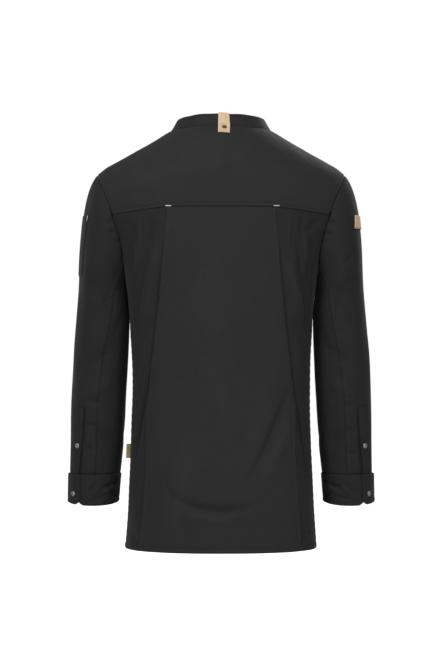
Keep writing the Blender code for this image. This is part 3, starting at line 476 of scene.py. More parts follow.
def neckline(turns):
    """Places of the neckline on the left half; turn 0 is the centre back and 1 the centre front."""
    x = np.sign(turns) * read(NECKLINE, "turn", "x", np.abs(turns))
    along = read(NECKLINE, "turn", "along", np.abs(turns))
    return np.stack([angle_at(x, np.abs(x) / width_at(along)), along], axis=-1)


def joined(*runs):
    """Runs of places end to end, with each shared end once."""
    return np.concatenate([runs[0]] + [run[1:] for run in runs[1:]])


def mirrored(places, side=-1):
    """The same places on the side where side is 1 for the wearer's left and -1 for the right."""
    return places * np.array([side, 1])


def front_edge(x, turn):
    """Neckline from the shoulder seam to a front's edge, then that edge down to the hem."""
    neck = neckline(np.linspace(SHOULDER_TURN, turn, FINE))
    z = np.linspace(body_form(*neck[-1])[2], HEM_Z, FINE)
    return joined(neck, place_on_body(x, z, -1))


# %% Seams of the body
YOKE_Z = -0.147
YOKE_ARM_Z = -0.159  # the yoke's seam falls a little towards the armhole
ARM_BACK, ARM_FRONT = armhole_half(1), armhole_half(-1)
YOKE_CORNER = int(np.argmin(np.abs(body(*ARM_BACK.T)[:, 2] - YOKE_ARM_Z)))
SHOULDER_CORNER = int(np.argmin(np.abs(ARM_FRONT[:, 1] - FRONT_SHOULDER_SEAM)))
SIDE_BACK = np.stack([np.full(FINE, QUARTER), np.linspace(abs(ARM_BACK[-1, 1]), HEM_ALONG, FINE)], axis=-1)
PRINCESS_TOP = float(PRINCESS["x"][-1])
yoke_end = body(*ARM_BACK[YOKE_CORNER])
YOKE_SIDE = place_on_body(np.linspace(PRINCESS_TOP, yoke_end[0], FINE), np.linspace(YOKE_Z, yoke_end[2], FINE), 1)
YOKE_SIDE[-1] = ARM_BACK[YOKE_CORNER]
YOKE_CENTRE = place_on_body(np.linspace(PRINCESS_TOP, -PRINCESS_TOP, FINE), YOKE_Z, 1)
princess_z = np.linspace(YOKE_Z, HEM_Z, 2 * FINE)
BACK_INNER = place_on_body(read(PRINCESS, "z", "x", princess_z), princess_z, 1)
BACK_OUTER = joined(ARM_BACK[YOKE_CORNER:], SIDE_BACK)
FRONT_OUTER = joined(ARM_FRONT[SHOULDER_CORNER:], SIDE_BACK * (1, -1))
share = np.linspace(0, 1, FINE)[:, None]
SHOULDER_SEAM = neckline(np.array([SHOULDER_TURN])) * (1 - share) + ARM_FRONT[SHOULDER_CORNER] * share
print("armhole from shoulder to armpit:", round(float(run_of(body(*ARM_BACK.T))[-1]), 3), "m")

# %% [markdown]
# ## Seams seen close up
#
# A felled seam shows as a flat ridge with two rows of stitches in shallow grooves, and the cloth beside it dips. A hem
# is the same with one row. So the grid of a panel is close near its edges, with lines at the very distances where the
# height changes, and wide in the middle. Between the stitches the cloth puckers a little, which tells that it is sewn.

# %% Kinds of edge: rows of distance from the edge and height there in millimetres, and how light the cloth is: darker in grooves and dips as painted shade, lighter on ridges and edges as wear
EDGES = {
    "felled": (
        (0, -0.8, 0.3), (0.8, -0.2, 0.6), (1.6, 0.1, 0.85), (2.5, 0.5, 1.1), (4.5, 0.6, 1.18), (5.7, 0.5, 1.14),
        (6.4, -0.1, 0.5), (7.2, -0.08, 0.5), (8, 0.1, 1), (9.5, 0, 1), (12, 0, 1),
    ),
    "pressed": (
        (0, -0.45, 0.6), (0.8, -0.14, 0.8), (1.6, 0.04, 0.95), (2.6, 0.26, 1.05), (5.2, 0.42, 1.14),
        (7.4, 0.36, 1.12), (8.4, 0.02, 0.86), (9.6, 0.05, 1), (12, 0, 1),
    ),
    "under": ((0, -0.6, 0.55), (0.8, -0.45, 0.72), (1.8, -0.22, 0.9), (3.5, -0.04, 0.98), (7, 0, 1), (12, 0, 1)),
    "tucked": ((0, -0.95, 0.3), (0.8, -0.62, 0.55), (1.8, -0.28, 0.85), (3.5, -0.05, 0.97), (7, 0, 1), (12, 0, 1)),
    # sunk: its dark line, where the sleeve goes into the cuff, is painted shade.
    "sunk": (
        (0, -0.4, 0.3), (3.5, -0.4, 0.3), (7, -0.85, 0.3), (7.8, -0.62, 0.55), (8.8, -0.28, 0.85),
        (10.5, -0.05, 0.97), (14, 0, 1), (19, 0, 1),
    ),
    "hem": (
        (0, -0.5, 1.1), (0.8, 0.1, 1.15), (2, 0.35, 1.08), (5, 0.45, 1.05), (8, 0.42, 1.05), (9.2, -0.02, 0.7),
        (10.4, 0.1, 1), (12, 0, 1), (15, 0, 1),
    ),
    "topstitched": (
        (0, -0.5, 0.9), (0.6, 0.05, 1.12), (1.6, -0.14, 0.8), (2.6, 0.15, 1.08), (4.5, 0.17, 1.08), (6.8, -0.2, 0.75),
        (8, 0.05, 1), (10, 0, 1),
    ),
    "stitched": ((0, -0.45, 0.95), (0.6, 0.05, 1.15), (1.5, -0.16, 0.75), (2.4, 0.12, 1.05), (4, 0, 1)),
    "set_in": (
        (0, -0.32, 0.72), (0.7, -0.14, 0.88), (1.6, 0.05, 1.04), (3, 0.1, 1.06), (4.2, 0, 0.94), (5.2, 0.05, 1),
        (9, 0, 1),
    ),
    # slit: its dark edge is a painted shadow, since the sleeve under the strip is not cut open.
    "slit": ((0, -0.8, 0.1), (0.9, -0.45, 0.18), (1.7, -0.15, 0.55), (2.6, 0, 0.92), (4, 0, 1)),
    "flat": ((0, -0.85, 1), (1.2, -0.3, 1), (3, -0.05, 1), (5, 0, 1)),
    "banded": (
        (0, -0.5, 0.78), (0.6, 0.02, 0.96), (1.6, -0.16, 0.6), (2.6, 0.12, 0.94), (4.2, 0.14, 0.94),
        (5.6, -0.16, 0.66), (6.8, 0.05, 0.93), (9, 0, 0.94),
    ),
    "plain": ((0, -0.4, 1.1), (0.9, 0, 1.1), (3, 0, 1)),
}
# Which of the rows are sewn.
STITCH_ROWS = dict(felled=(2, 6), pressed=(6,), hem=(5,), topstitched=(2, 5), stitched=(2,), banded=(2, 5))
PUCKERED = "felled pressed under tucked sunk set_in hem topstitched".split()
PUCKER = 0.00034  # height of the puckers beside a sewn edge
PUCKER_EACH = 0.0135  # from one pucker to the next


def edge_rows(kind):
    """Distances and heights in metres, and lightness, of one kind of edge: painted shade in its grooves and dips, wear
    on its ridges.
    """
    return np.array(EDGES[kind]).T * np.array([[0.001], [0.001], [1.0]])


def pucker(points, upright, far):
    """Small waves that run along a sewn edge and die away from it."""
    walk = points[..., 2] if upright else 0.8 * points[..., 0] + 0.6 * points[..., 2]
    swing = np.sin(walk * 2 * math.pi / PUCKER_EACH + 3.0 * unevenness(points, 0.035))
    return PUCKER * swing * np.exp(-(((far - 0.004) / 0.007) ** 2))


# %% A grid that is close at its edges
def spread(length, middle, start, end):
    """Distances across a panel for lines of several lengths: its edge rows first and last, even steps between."""
    length = np.asarray(length)[:, None]
    squeeze = np.minimum(1, 0.45 * length / max(start[-1], end[-1]))
    first = start[None] * squeeze
    last = length - end[None, ::-1] * squeeze
    part = np.linspace(0, 1, middle + 2)[None, 1:-1]
    return np.concatenate([first, first[:, -1:] * (1 - part) + last[:, :1] * part, last], axis=1)


def lay_out(surface, pitch, kinds):
    """Grid over a panel: u and v of its points, and their distances to the left, right, top and bottom edges."""
    dense = np.linspace(0, 1, 121)
    left, right, top, bottom = (edge_rows(kind)[0] for kind in kinds)

    def runs(at, along_u):
        grids = np.meshgrid(dense, at)
        points = surface(*(grids if along_u else grids[::-1]))[0]
        steps = np.linalg.norm(np.diff(points, axis=1), axis=2)
        return np.concatenate([np.zeros((len(at), 1)), np.cumsum(steps, axis=1)], axis=1)

    def shares(distances, lines):
        return np.array([np.interp(row, line, dense) for row, line in zip(distances, lines)])

    down = runs(np.array([0.25, 0.5, 0.75]), False)
    middle_down = max(2, int(down[:, -1].max() / pitch))
    rows = shares(spread(down[:, -1], middle_down, top, bottom), down).mean(axis=0)
    over = runs(rows, True)
    middle_over = max(2, int(over[:, -1].max() / pitch))
    across = spread(over[:, -1], middle_over, left, right)
    u = shares(across, over)
    down = runs(u.mean(axis=0), False)
    drop = spread(down[:, -1], middle_down, top, bottom)
    v = shares(drop, down).T
    return u, v, (across, over[:, -1:] - across, drop.T, down[:, -1][None] - drop.T)


def outward(points, inside):
    """Unit normals of a grid of points, facing away from a point inside."""
    normal = unit(np.cross(np.gradient(points, axis=1), np.gradient(points, axis=0)))
    return normal * np.sign(np.sum(normal * (points - np.array(inside))))


# %% [markdown]
# ## Cloth with two sides
#
# A single layer of faces looks like paper where it ends. So each panel is a grid that is extruded once, which gives it
# an inner side and a rim, and then its points are moved to their places.

# %% From a grid of points to a wall
MADE = {}  # slot of each piece, and the nodes that it stands for


def finished(name, shape, sharp):
    """The object of a closed shape, its faces turned out and its edges sharp past an angle."""
    bmesh.ops.recalc_face_normals(shape, faces=shape.faces[:])
    if shape.calc_volume(signed=True) < 0:
        bmesh.ops.reverse_faces(shape, faces=shape.faces[:])
    mesh = mesh_of(shape, name)
    mesh.shade_smooth()
    mesh.set_sharp_from_angle(angle=math.radians(sharp))
    return put(name, mesh)


def set_tone(mesh, tone):
    """Notes how light the cloth is at each point, with painted shade in grooves and creases and paler wear on ridges,
    which the finishes read as the attribute seam.
    """
    mesh.attributes.new("seam", "FLOAT", "POINT").data.foreach_set("value", tone.astype(np.float32))


def wall_between(name, outer, inner, flat, tone, slot, node):
    """A closed wall between two grids of points, with its flat places as UV in metres and how light it is."""
    rows, columns = outer.shape[:2]
    shape = bmesh.new()
    bmesh.ops.create_grid(shape, x_segments=columns - 1, y_segments=rows - 1, size=0.5)
    outside = set(shape.verts)
    bmesh.ops.extrude_face_region(shape, geom=shape.faces[:])
    order = []
    for vertex in shape.verts:
        column = round((vertex.co.x + 0.5) * (columns - 1))
        row = round((0.5 - vertex.co.y) * (rows - 1))
        order.append(row * columns + column)
        vertex.co = (outer if vertex in outside else inner)[row, column]
    mesh = finished(name, shape, 55).data
    corners = np.empty(len(mesh.loops), np.int32)
    mesh.loops.foreach_get("vertex_index", corners)
    places = flat.reshape(-1, 2)[order][corners]
    mesh.uv_layers.new(name="cloth").data.foreach_set("uv", places.astype(np.float32).ravel())
    set_tone(mesh, tone.ravel()[order])
    MADE[name] = (slot, [node])


# %% From a surface to a panel
TWILL, BACK_TWILL, LABEL = "twill", "back_twill", "woven_label"
LEATHER, STEEL, BROWN = "tan_leather", "stud_steel", "rivet_brown"
PAINTED_CREASE_SHADE = 55.0  # painted light and shade: how much lighter cloth is for each metre that it stands up, and darker where it sinks
DARKEST, LIGHTEST = 0.65, 1.2
DEEPEST, HIGHEST = -0.0010, 0.0007  # what the edges may add up to where they meet
STITCH_CLEAR = 0.002  # no stitches nearer than this to the end of a row
INSIDE_BODY = (0, 0, -0.4)
STITCHES = []  # rows of stitches, as (points, normals)


def panel(name, slot, surface, kinds, wall=CLOTH, pitch=0.0052, inside=INSIDE_BODY, node=None):
    """One panel of cloth on its surface, with seams, puckers and stitch rows; kinds are left, right, top, bottom."""
    kinds = kinds.split()
    u, v, distances = lay_out(surface, pitch, kinds)
    points, flat, room, crease = surface(u, v)
    normal = outward(points, inside)
    # Painted light on the ridges of creases and painted shade in their troughs; then each edge adds painted shade in
    # its grooves and wear on its ridges.
    height, tone = 0.0, np.clip(1 + PAINTED_CREASE_SHADE * crease, DARKEST, LIGHTEST)
    for kind, far in zip(kinds, distances):
        away, raised, light = edge_rows(kind)
        height = height + np.interp(far, away, raised)
        tone = tone * np.interp(far, away, light)
    height = np.clip(height, DEEPEST, HIGHEST)
    for place, (kind, far) in enumerate(zip(kinds, distances)):
        if kind in PUCKERED:
            height = height + pucker(points, place < 2, far)
    height = np.where(room < 1, np.minimum(height, 0) * room + height * room * (height > 0), height)
    outer = points + height[..., None] * normal
    wall_between(name, outer, points - wall * normal, flat, tone, slot, node or name.removeprefix("cloth_"))
    for place, kind in enumerate(kinds):
        for k in STITCH_ROWS.get(kind, ()):
            pick = (np.s_[:, k], np.s_[:, -1 - k], np.s_[k], np.s_[-1 - k])[place]
            start, end = (far[pick] for far in (distances[2:] if place < 2 else distances[:2]))
            clear = (start > STITCH_CLEAR) & (end > STITCH_CLEAR) & (np.broadcast_to(room, u.shape)[pick] > 0.5)
            STITCHES.append((outer[pick][clear], normal[pick][clear]))


# %% [markdown]
# ## Yoke, back and fronts
#
# A four-sided panel is filled in from its four edges: each inner point blends the edge points beside, above and below
# it. The mixing is done in places on the body, so the panel always lies on the form.


# %% Filling in a panel
def taken(at, run, rows):
    """Rows of numbers read at places along a run."""
    return np.stack([np.interp(at, run, column) for column in rows.T], axis=-1)


def by_length(places):
    """A line of places that is read by its share of length."""
    run = run_of(body_form(*places.T))
    return lambda at: taken(at, run / run[-1], places)


def between(top, left, right, bottom=None, raised=0.0):
    """Surface of a body panel, filled in from its four edges; the bottom is a level line if it isn't given."""
    if bottom is None:
        bottom = np.linspace(left[-1], (right[-1, 0], left[-1, 1]), FINE)
    top_at, bottom_at, left_at, right_at = (by_length(line) for line in (top, bottom, left, right))

    def surface(u, v):
        ub, vb = u[..., None], v[..., None]
        edges = (1 - vb) * top_at(u) + vb * bottom_at(u) + (1 - ub) * left_at(v) + ub * right_at(v)
        inner = (1 - vb) * ((1 - ub) * top[0] + ub * top[-1]) + vb * ((1 - ub) * bottom[0] + ub * bottom[-1])
        across, along = np.moveaxis(edges - inner, -1, 0)
        points = body(across, along)
        if raised:
            points = points + raised * surface_normal(body_form, across, along)
        return points, body_flat(across, along), 1.0, body_folds(points, across, along)

    return surface


# %% The body panels
SIDES = (("left", 1), ("right", -1))
PLACKET_HALF_WIDTH = 0.016
PLACKET_TURN = 0.96  # where its edges meet the neckline
UNDER_PLACKET = 0.0032  # the left front goes on under it
# x of each front's edge, and the turn where it meets the neckline.
FRONT_EDGES = {"left": (PLACKET_HALF_WIDTH - UNDER_PLACKET, PLACKET_TURN), "right": (-0.012, 1.03)}
half_out = joined(ARM_FRONT[: SHOULDER_CORNER + 1][::-1], ARM_BACK[: YOKE_CORNER + 1], YOKE_SIDE[::-1])
yoke_out = joined(half_out, YOKE_CENTRE, mirrored(half_out)[::-1])
yoke_neck = neckline(np.linspace(SHOULDER_TURN, -SHOULDER_TURN, 2 * FINE))
yoke = between(yoke_neck, SHOULDER_SEAM, mirrored(SHOULDER_SEAM), yoke_out)
panel("cloth_yoke", BACK_TWILL, yoke, "set_in set_in plain felled", node="back_yoke")
back = between(YOKE_CENTRE, BACK_INNER, mirrored(BACK_INNER))
panel("cloth_back_centre", BACK_TWILL, back, "pressed pressed tucked hem", pitch=0.0044)
for word, side in SIDES:
    back = between(*(mirrored(line, side) for line in (YOKE_SIDE, BACK_INNER, BACK_OUTER)))
    panel(f"cloth_back_side_{word}", TWILL, back, "under set_in tucked hem", pitch=0.0036)
for word, side in SIDES:
    front = between(*(mirrored(line, side) for line in (SHOULDER_SEAM, front_edge(*FRONT_EDGES[word]), FRONT_OUTER)))
    panel(f"cloth_front_{word}", TWILL, front, "plain tucked felled hem")

# %% Placket of the front
placket_left = front_edge(PLACKET_HALF_WIDTH, PLACKET_TURN)[FINE - 1 :]
placket_top = neckline(np.linspace(PLACKET_TURN, 2 - PLACKET_TURN, 21))
placket_top[0], placket_top[-1] = placket_left[0], mirrored(placket_left[0])
placket = between(placket_top, placket_left, mirrored(placket_left), raised=CLOTH + LYING_GAP)
panel("cloth_placket", TWILL, placket, "topstitched topstitched plain hem", node="front_placket")

# %% [markdown]
# ## Stand collar
#
# The collar is a double band, stiffened, that follows the neckline and leans in a little. It is made like a panel whose
# one direction is the way round the neck and whose other is up.

# %% Collar
COLLAR = table(
    "turn lean height",
    (0, 8, 25), (120, 8, 25), (220, 9, 24), (320, 10, 22.5), (390, 11, 21), (450, 11.5, 20), (560, 12, 20),
    (780, 10, 22), (1000, 8, 24),
)
COLLAR_END = 0.99  # turn of its two ends, which meet at the centre front
COLLAR_ROOT = 0.045  # how far it goes on below the neckline, as a share of its height
COLLAR_FLAT = np.array([-0.215, -0.026])  # its half length and its height on flat cloth
UP = np.array([0, 0, 1.0])


def collar(turns, up):
    """Outside of the stand collar; up is 0 at the neckline and 1 at its top edge."""
    foot = body(*np.moveaxis(neckline(turns), -1, 0))
    lean, height = (read(COLLAR, "turn", column, np.abs(turns))[..., None] for column in ("lean", "height"))
    return foot + np.asarray(up)[..., None] * (lean * unit(foot * (-1, -1, 0)) + height * UP) + SEAM_GAP * UP


def collar_surface(u, v):
    """The collar by its share round the neck and down."""
    turns = COLLAR_END * (1 - 2 * u)
    return collar(turns, 1 - (1 + COLLAR_ROOT) * v), np.stack([turns, v], axis=-1) * COLLAR_FLAT, 1.0, 0.0


panel("cloth_collar", BACK_TWILL, collar_surface, "stitched stitched banded banded", BAND, 0.0042, (0, 0, 0.02))

# %% [markdown]
# ## Sleeves
#
# A sleeve is set in at the armhole, swells over the shoulder as its cap, and hangs as a tube that narrows to the cuff.
# The cap is a curve from each point of the armhole to the tube, leaving the seam outwards and arriving downwards.

# %% The sleeve's sizes
SLEEVE_START_Z = -0.300
CUFF_TOP_Z = -0.6485
CUFF_BOTTOM_Z = -0.7015
SLEEVE_END_Z = CUFF_TOP_Z - 0.007  # the sleeve goes on a little inside the cuff
SLEEVE_TUCK, TUCK_RUN = 0.0015, 0.0035  # and narrows by this there, over this height
SLEEVE = table(
    "z outer_x inner_x half_depth centre_y",
    (-705, 291.2, 197.6, 42.4, -42), (-686, 290.8, 196.2, 42.6, -41), (-645, 289.9, 192.8, 43.4, -39.5),
    (-595, 289.2, 187.6, 46.5, -36.5), (-549, 288.6, 184.6, 49, -33.5), (-503.5, 286.9, 182.1, 52, -31),
    (-458, 284.5, 179.3, 55, -29), (-412, 281.7, 177.1, 58, -27.5), (-382, 279, 175.8, 60, -26.5),
    (-344, 276, 175.2, 62, -25.5), (-300, 272.8, 179.8, 64, -23),
)
halves = [body(*half.T) for half in (ARM_BACK, ARM_FRONT[::-1])]
runs = [run_of(half) for half in halves]
LOOP_TURNS = np.concatenate([runs[0] / runs[0][-1] / 2, 0.5 + runs[1][1:] / runs[1][-1] / 2])
LOOP_POINTS = joined(*halves)
UNDER_BACK, UNDER_FRONT = int(FINE * 0.90), int(FINE * 0.80)  # where the under piece begins on each half armhole
SLEEVE_SEAMS = table(
    "down back_turn front_turn",
    (0, 1000 * LOOP_TURNS[UNDER_BACK], 1000 * LOOP_TURNS[2 * (FINE - 1) - UNDER_FRONT]),
    (600, 390, 610), (1000, 342, 620), (1100, 318, 622), (1210, 297, 626), (1490, 262, 636), (2000, 258, 650),
)

# %% The sleeve's form
TOP_LEAVES, UNDER_LEAVES = np.array([0.70, 0, -0.71]), np.array([-0.15, 0, -1.0])  # ways out of the armhole
SIDE_LEAVES = np.array([0, 0.35, 0])
SMALL = 0.004  # step to find which way the tube runs


def tube(turn, z, wider=0.0):
    """Points of the sleeve's plain tube; wider moves them out."""
    columns = ("outer_x", "inner_x", "half_depth", "centre_y")
    outer, inner, deep, centre_y = (read(SLEEVE, "z", column, z) for column in columns)
    angle = 2 * math.pi * turn
    x = (outer + inner) / 2 + ((outer - inner) / 2 + wider) * np.cos(angle)
    return np.stack(np.broadcast_arrays(x, centre_y + (deep + wider) * np.sin(angle), z), axis=-1)


def sleeve_form(down, turn):
    """Left sleeve without folds: down is 0 at the armhole, 1 where the tube starts and 2 at the cuff."""
    down, turn = np.broadcast_arrays(np.asarray(down, float), np.asarray(turn, float))
    z = SLEEVE_START_Z + np.maximum(down - 1, 0) * (SLEEVE_END_Z - SLEEVE_START_Z)
    below = tube(turn, z, -SLEEVE_TUCK * np.clip((CUFF_TOP_Z - z) / TUCK_RUN, 0, 1))
    high = ((1 + np.cos(2 * math.pi * turn)) / 2)[..., None]
    aside = np.sin(2 * math.pi * turn)[..., None]
    leaving = high * TOP_LEAVES + (1 - high) * UNDER_LEAVES + aside * SIDE_LEAVES
    seam = taken(np.mod(turn, 1), LOOP_TURNS, LOOP_POINTS)
    start = tube(turn, SLEEVE_START_Z)
    slope = (tube(turn, SLEEVE_START_Z - SMALL) - start) / SMALL
    part = np.minimum(down, 1)[..., None]
    cap = eased(part, seam, start, leaving * (0.045 + 0.105 * high), slope * (0.050 + 0.140 * high))
    return np.where((down < 1)[..., None], cap, below)


def sleeve_folds(turn, z, side):
    """Height of the folds on a sleeve; side is 1 for the left one and -1 for the right one."""
    return fold_height(SLEEVE_FOLDS[side], np.mod(turn, 1) * SLEEVE_ROUND, z)


def sleeve(down, turn, side, raised=0.0):
    """Sleeve as the left one, with the folds of its side, or a place raised over it."""
    down, turn = np.broadcast_arrays(np.asarray(down, float), np.asarray(turn, float))
    point = sleeve_form(down, turn)
    # All of it fades in below the armhole's seam, and out again just over the cuff.
    height = sleeve_folds(turn, point[..., 2], side) * np.clip(down * 10, 0, 1)
    height = height + rumple(point * (side, 1, 1)) * np.clip(down * 3, 0, 1)
    height = height * np.clip((2 - down) / 0.04, 0, 1) + raised
    return point + height[..., None] * surface_normal(sleeve_form, down, turn, 4e-3)


# %% The two pieces of each sleeve
SLEEVE_MIDDLE = np.array([0.23, -0.02, -0.45])


def laid(points, turn, side, room, crease):
    """What a surface round the sleeve gives: its points on their side, their flat places, room and creases."""
    return points * (side, 1, 1), np.stack([SLEEVE_ROUND * turn, points[..., 2]], axis=-1), room, crease


def sleeve_surface(side, first, last, lap):
    """Surface of a sleeve piece between two of its seams; lap is 1 where it passes the end of the turn."""

    def surface(u, v):
        down = 2 * v
        begin = read(SLEEVE_SEAMS, "down", first, down)
        turn = begin + (read(SLEEVE_SEAMS, "down", last, down) + lap - begin) * u
        points = sleeve(down, turn, side) + np.clip(1 - 3 * down, 0, 1)[..., None] * (0.0002, 0, -0.0001)
        return laid(points, turn, side, 1.0, sleeve_folds(turn, points[..., 2], side))

    return surface


for word, side in SIDES:
    for part, first, last, lap, kinds in (
        ("top", "front_turn", "back_turn", 1, "tucked pressed set_in sunk"),
        ("under", "back_turn", "front_turn", 0, "under felled set_in sunk"),
    ):
        piece = sleeve_surface(side, first, last, lap)
        panel(f"cloth_sleeve_{part}_{word}", TWILL, piece, kinds, CLOTH, 0.0042, SLEEVE_MIDDLE * (side, 1, 1))

# %% [markdown]
# ## Cuffs
#
# A cuff is a stiff band wound a little over once round. Its flap lies on its start, so the band moves out by its own
# thickness before it comes round. Its lower corners are cut off.

# %% Cuffs
CUFF_FOLDS = folds(
    (286, -675, 435, -661, 1, 4, -3.4), (290, -684, 410, -673, 1, 4, 2.4), (215, -692, 300, -669, 1, 4.5, 2.8),
    (205, -686, 280, -662, 1, 3.8, -2.6), (390, -684, 470, -698, 1, 3.2, -2.6), (430, -674, 490, -692, 1, 3.2, -2.6),
    (178, -690, 230, -701, 1, 3.2, -2), (560, -690, 640, -662, 1, 4, -1.8), (340, -664, 400, -692, 1, 4, -2),
    (255, -696, 335, -688, 1, 3.5, -1.8),
    over=SLEEVE_ROUND,
)
CUFF_START, CUFF_END = 3 / 30, 35 / 30  # turns
FLAP_FROM, FLAP_RUN = 0.78, 0.18  # turn where the band starts to move out, and how long it takes
CREASE_FROM, CREASE_RUN = 0.18, 0.03  # the same for its creases, as the start under the flap has none
START_CORNER, END_CORNER = 5.5, 34  # where its two corners are cut off from, in thirtieths of a turn
CUFF_PROUD = 0.0016  # how far it stands over the sleeve
CORNER_CUT = 0.0065  # how much shorter it gets with each thirtieth of a turn into a corner
CUFF_TILT = 0.0070  # how much lower it reaches behind, and higher in front, than at its sides


def flap_rise(turn):
    """How far the cuff's band has come out, from 0 to 1, before it laps over its own start."""
    return eased(np.clip((turn - FLAP_FROM) / FLAP_RUN, 0, 1), 0, 1, 0, 0)


def cuff_surface(side):
    """Surface of a cuff."""

    def surface(u, v):
        turn = CUFF_START + (CUFF_END - CUFF_START) * u
        corners = np.clip(START_CORNER - turn * 30, 0, None) + np.clip(turn * 30 - END_CORNER, 0, None)
        hang = CORNER_CUT * corners - CUFF_TILT * np.sin(2 * math.pi * turn)
        z = CUFF_TOP_Z - SEAM_GAP + (CUFF_BOTTOM_Z - CUFF_TOP_Z + SEAM_GAP + hang) * v
        room = np.clip((turn - CREASE_FROM) / CREASE_RUN, 0, 1)
        crease = fold_height(CUFF_FOLDS, np.mod(turn, 1) * SLEEVE_ROUND, z) * room
        lift = CUFF_PROUD + flap_rise(turn) * (BAND + SEAM_GAP) + crease
        return laid(tube(turn, z, lift), turn, side, room, crease)

    return surface


for word, side in SIDES:
    kinds = "plain topstitched topstitched topstitched"
    panel(f"cloth_cuff_{word}", TWILL, cuff_surface(side), kinds, BAND, 0.0032, (side * 0.24, -0.038, -0.675))

# %% [markdown]
# ## What lies on the sleeves
#
# The slit above each cuff has its own placket strip, the left sleeve a pen pocket and the right one a plain leather
# patch. Each is cut from the sleeve's own surface and moved out by its thickness, so it bends and creases with it.


# %% Plackets, pen pocket and patch
def down_at(turn, z):
    """How far down the sleeve a height lies, by halving."""
    low, high = np.zeros_like(z), np.full_like(z, 2.0)
    for _ in range(18):
        half = (low + high) / 2
        above = sleeve_form(half, turn)[..., 2] > z
        low, high = np.where(above, half, low), np.where(above, high, half)
    return (low + high) / 2


def overlay_surface(side, first, last, top_z, bottom_z, raised):
    """Surface of a piece on a sleeve, between two turns, each a pair for its top and bottom, and two heights."""

    def surface(u, v):
        z = top_z + (bottom_z - top_z) * v
        begin, end = first[0] + (first[1] - first[0]) * v, last[0] + (last[1] - last[0]) * v
        turn = begin + (end - begin) * u
        points = sleeve(down_at(turn, z), turn, side, raised)
        return points * (side, 1, 1), np.stack([SLEEVE_ROUND * turn, z], axis=-1), 1.0, sleeve_folds(turn, z, side)

    return surface


def overlay(name, slot, side, shape, kinds, wall, pitch, node=None):
    """A piece on a sleeve, of the given turns and heights, that lies on it with its own wall."""
    surface = overlay_surface(side, *shape, LYING_GAP + wall)
    panel(name, slot, surface, kinds, wall, pitch, SLEEVE_MIDDLE * (side, 1, 1), node)


POCKET_TOP_Z, POCKET_REAR = -0.158, 0.100  # height of the pocket's mouth and the patch, and turn of its rear edge
pocket = ((-0.085, -0.085), (POCKET_REAR, POCKET_REAR), POCKET_TOP_Z, -0.272)
patch = ((-0.045, -0.045), (0.082, 0.104), POCKET_TOP_Z, -0.183)
strip = ((0.085, 0.065), (0.183, 0.153), -0.520, CUFF_TOP_Z + 2 * SEAM_GAP)
overlay("cloth_pen_pocket", TWILL, 1, pocket, "flat flat stitched flat", 0.0009, 0.0042)
overlay("leather_patch", LEATHER, -1, patch, "stitched " * 4, 0.0014, 0.0025, "sleeve_patch")
for word, side in SIDES:
    overlay(f"cloth_sleeve_placket_{word}", TWILL, side, strip, "stitched slit stitched plain", 0.0012, 0.0020)

# %% [markdown]
# ## Leather neck loop
#
# A strap of vegetable-tanned leather is riveted below the collar and runs up its outside, over the top and down inside.
# It is a ribbon along that way; its two long edges are rounded because leather is burnished there.

# %% The strap's way
STRAP, STRAP_CLEAR = 0.0016, 0.0005  # its thickness, and how far it lies off the cloth
STRAP_ROWS, STRAP_COLUMNS = 60, 15
strap_turns = np.linspace(-0.066, 0.022, STRAP_COLUMNS)
strap_across, strap_along = neckline(strap_turns).T


def on_collar(up):
    """A row across the strap's way on the outside of the collar."""
    return collar(strap_turns, np.full(STRAP_COLUMNS, up))


def strap_route():
    """Places along the strap and the way from the jacket out to it."""
    out = unit(on_collar(0.0) * (1, 1, 0))
    route = []
    for lower in (0.110, 0.085, 0.060, 0.035):
        place = (strap_across, strap_along + lower)
        route.append((body(*place), surface_normal(body_form, *place, 1e-3)))
    # Where it turns up from the yoke it stands off more.
    route.append((on_collar(0.0), 1.7 * (out + UP) / 1.414))
    route += [(on_collar(up), out) for up in (0.2, 0.4, 0.6, 0.8, 1.0)]
    for angle in np.radians((30, 60, 90, 120, 150)):
        over_rim = on_collar(1.0) - out * BAND * (1 - math.cos(angle)) / 2
        route.append((over_rim, math.cos(angle) * out + math.sin(angle) * UP))
    return route + [(on_collar(up) - BAND * out, -out) for up in (1.0, 0.8, 0.6, 0.45, 0.30)]


def smooth_rows(rows, count):
    """Rows of points along a route, evened out to more rows."""
    run = run_of(rows[:, rows.shape[1] // 2])
    evened = taken(np.linspace(0, run[-1], count), run, rows.reshape(len(rows), -1))
    for _ in range(2):
        evened[1:-1] = (evened[:-2] + 2 * evened[1:-1] + evened[2:]) / 4
    return evened.reshape(count, *rows.shape[1:])


# %% Neck loop
route = strap_route()
strap_inner, strap_outer = (
    smooth_rows(np.array([place + lift * way for place, way in route]), STRAP_ROWS)
    for lift in (STRAP_CLEAR, STRAP_CLEAR + STRAP)
)
brink = np.minimum(np.arange(STRAP_COLUMNS), np.arange(STRAP_COLUMNS)[::-1])
rounding = np.interp(brink, (0, 1, 2), (0.0005, 0.0001, 0.0))[None, :, None]
strap_flat = np.stack(np.meshgrid(np.linspace(0, 0.021, STRAP_COLUMNS), np.linspace(0, 0.062, STRAP_ROWS)), axis=-1)
strap_tone = np.broadcast_to(np.interp(brink, (0, 1, 2), (1.15, 1.08, 1.0)), (STRAP_ROWS, STRAP_COLUMNS))
rounded = strap_outer - rounding * unit(strap_outer - strap_inner)
wall_between("leather_neck_loop", rounded, strap_inner, strap_flat, strap_tone, LEATHER, "neck_loop")

